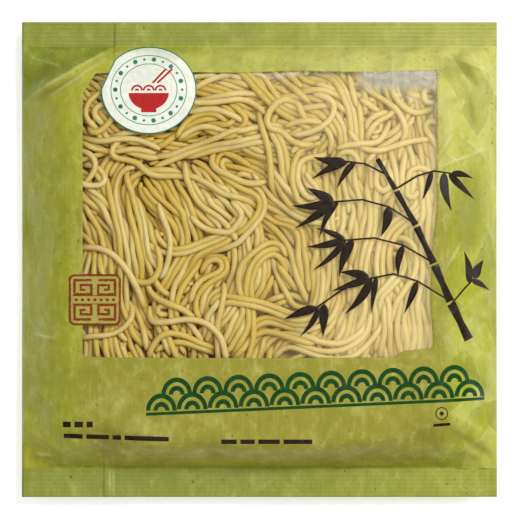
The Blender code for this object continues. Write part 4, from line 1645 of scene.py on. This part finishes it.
def noodle_material():
    """Fresh wheat noodles: pale yellow, faintly translucent, each of its own tint, with painted sheen, bounce light
    and shade.
    """
    material, tree, shader = new_material("fresh_noodle")
    tint = add_node(tree, "ShaderNodeAttribute", attribute_name="strand_tint").outputs["Fac"]
    mottle = noise(tree, place(tree), 4.5 * MM, detail=3)
    flour = noise(tree, place(tree), 0.5 * MM, detail=2)
    colour = blend_colour(tree, between(tree, tint, 0.0, 1.0), NOODLE_PALE, NOODLE_DEEP)
    colour = blend_colour(tree, between(tree, mottle, 0.40, 0.72, 0.0, 0.55), colour, NOODLE_DEEP)
    colour = blend_colour(tree, between(tree, flour, 0.36, 0.25, 0.0, 0.35), colour, NOODLE_SPECK_AND_SHADE)
    # Painted sheen: the noodles paler towards the right.
    spots = add_node(tree, "ShaderNodeSeparateXYZ", [("Vector", place(tree))])
    sheen_to_right = between(tree, spots.outputs["X"], 0.0, 60 * MM, 0.0, 0.5)
    colour = blend_colour(tree, sheen_to_right, colour, NOODLE_PAINTED_SHEEN)
    # Painted bounce light: the lower flanks of each strand warmer and brighter, lifting the shade between strands.
    facing = add_node(tree, "ShaderNodeAttribute", attribute_name="facing").outputs["Fac"]
    colour = blend_colour(tree, between(tree, facing, 0.75, -0.1, 0.0, 0.7), colour, NOODLE_FLANK_BOUNCE)
    # Painted shade: strands that lie deeper below the film are browner.
    depth = add_node(tree, "ShaderNodeAttribute", attribute_name="depth").outputs["Fac"]
    colour = blend_colour(tree, between(tree, depth, 0.12, 1.0, 0.0, 0.45), colour, NOODLE_SPECK_AND_SHADE)
    tree.links.new(colour, shader.inputs["Base Color"])
    tree.links.new(between(tree, mottle, 0.3, 0.7, 0.36, 0.48), shader.inputs["Roughness"])
    shader.inputs["Subsurface Weight"].default_value = 0.6
    shader.inputs["Subsurface Radius"].default_value = (1.0, 0.65, 0.22)
    shader.inputs["Subsurface Scale"].default_value = 3.0 * MM
    shader.inputs["Specular IOR Level"].default_value = 0.2
    tree.links.new(bump(tree, flour, 0.05 * MM), shader.inputs["Normal"])
    return material


def core_material():
    """The depth of the noodle block, seen through the gaps between strands and from aside, brown with painted shade
    and paler where it rises to the film.
    """
    material, tree, shader = new_material("noodle_core")
    mottle = noise(tree, place(tree), 5 * MM, detail=4)
    colour = blend_colour(tree, between(tree, mottle, 0.3, 0.7), CORE_SHADE, CORE_DEEP_SHADE)
    depth = add_node(tree, "ShaderNodeAttribute", attribute_name="depth").outputs["Fac"]
    colour = blend_colour(tree, between(tree, depth, 0.7, 0.1), colour, NOODLE_DEEP)
    tree.links.new(colour, shader.inputs["Base Color"])
    shader.inputs["Roughness"].default_value = 0.6
    tree.links.new(bump(tree, mottle, 0.6 * MM), shader.inputs["Normal"])
    return material


# ---------------------------------------------------------------- the pieces


def finish_piece(piece):
    """Every piece stands for the pack and moves with its one body."""
    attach(piece, "root")
    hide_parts(PACK)


def make_film():
    points, faces, slots, pane_faces = film_sheets(PAINTS)
    materials = {name: ink(name, *colours) for name, colours in INKS.items()}
    materials["base"] = paper_film()
    materials["inside"] = inside_film()
    film_points, film_faces = used_only(points, faces)
    film_materials = [materials[name] for name in PAINTS[:-1]]
    film = make_piece("printed_film", film_points, film_faces, film_materials, slots)
    add_values(film, "on_noodles", touching(film_points[:, 0], film_points[:, 1]))
    # fold: the painted highlight along the crests of the creases
    add_values(film, "fold", painted_fold_highlight(film_points[:, 0], film_points[:, 1]))
    add_values(film, "hollow", hollow_mark(film_points[:, 0], film_points[:, 1]))
    finish_piece(film)
    pane_points, pane_faces = used_only(points, pane_faces)
    pane = make_piece("clear_window", pane_points, pane_faces, [clear_film()])
    # fold: the painted highlight along the crests of the creases
    add_values(pane, "fold", painted_fold_highlight(pane_points[:, 0], pane_points[:, 1]))
    finish_piece(pane)


def make_noodles():
    lines, spans, radius = noodle_strands()
    points, faces, values = noodle_mesh(lines, spans, radius)
    noodles = make_piece("noodles", points, faces, [noodle_material()])
    for name, value in values.items():
        add_values(noodles, name, value)
    finish_piece(noodles)
    core_points, core_faces = core_mesh()
    core = make_piece("noodle_core", core_points, core_faces, [core_material()])
    add_values(core, "depth", depth_under_film(core_points))
    finish_piece(core)


# ---------------------------------------------------------------- the stage

FLOOR_SIZE = 3.0
FLOOR_COLOUR = (0.95, 0.95, 0.94)
FLOOR_GLOW = 0.45
WORLD_COLOUR = (1.0, 1.0, 1.0)
WORLD_STRENGTH = 0.30
CAMERA_HEIGHT = 3.0
CAMERA_SHIFT = 0.84 * MM
SENSOR = 36.0
FRAME_WIDTH = 220.2 * MM

# Position, size and power of each soft light; all of them face the pack.
LIGHTS = {
    "key": ((0.42, 0.50, 1.45), 0.42, 13.8),
    "side": ((0.60, 0.25, 0.60), 0.5, 4.2),
    "fill": ((-0.80, 0.15, 1.20), 1.1, 2.6),
    "front": ((-0.15, -0.75, 1.20), 1.2, 3.0),
}


def make_floor():
    bpy.ops.mesh.primitive_plane_add(size=FLOOR_SIZE, location=(0, 0, 0))
    floor = bpy.context.object
    floor.name = "floor"
    material, tree, shader = new_material("floor")
    shader.inputs["Base Color"].default_value = (*FLOOR_COLOUR, 1.0)
    shader.inputs["Roughness"].default_value = 0.9
    shader.inputs["Emission Strength"].default_value = FLOOR_GLOW
    floor.data.materials.append(material)


def make_lights():
    target = Vector((0, 0, FRONT_HEIGHT / 2))
    for name, (at, size, power) in LIGHTS.items():
        light = bpy.data.lights.new(name, "AREA")
        light.shape = "DISK"
        light.size = size
        light.energy = power
        lamp = bpy.data.objects.new(name, light)
        lamp.location = at
        lamp.rotation_euler = (target - Vector(at)).to_track_quat("-Z", "Y").to_euler()
        bpy.context.scene.collection.objects.link(lamp)
    world = bpy.data.worlds.new("studio")
    world.use_nodes = True
    background = world.node_tree.nodes["Background"]
    background.inputs["Color"].default_value = (*WORLD_COLOUR, 1.0)
    background.inputs["Strength"].default_value = WORLD_STRENGTH
    bpy.context.scene.world = world


def make_camera():
    camera = bpy.data.cameras.new("camera")
    camera.sensor_width = SENSOR
    camera.lens = SENSOR * (CAMERA_HEIGHT - SEAL_HEIGHT) / FRAME_WIDTH
    viewer = bpy.data.objects.new("camera", camera)
    viewer.location = (CAMERA_SHIFT, -CAMERA_SHIFT, CAMERA_HEIGHT)
    bpy.context.scene.collection.objects.link(viewer)
    bpy.context.scene.camera = viewer
    bpy.context.scene.view_settings.view_transform = "Standard"


make_camera()
make_floor()
make_lights()
make_film()
make_noodles()
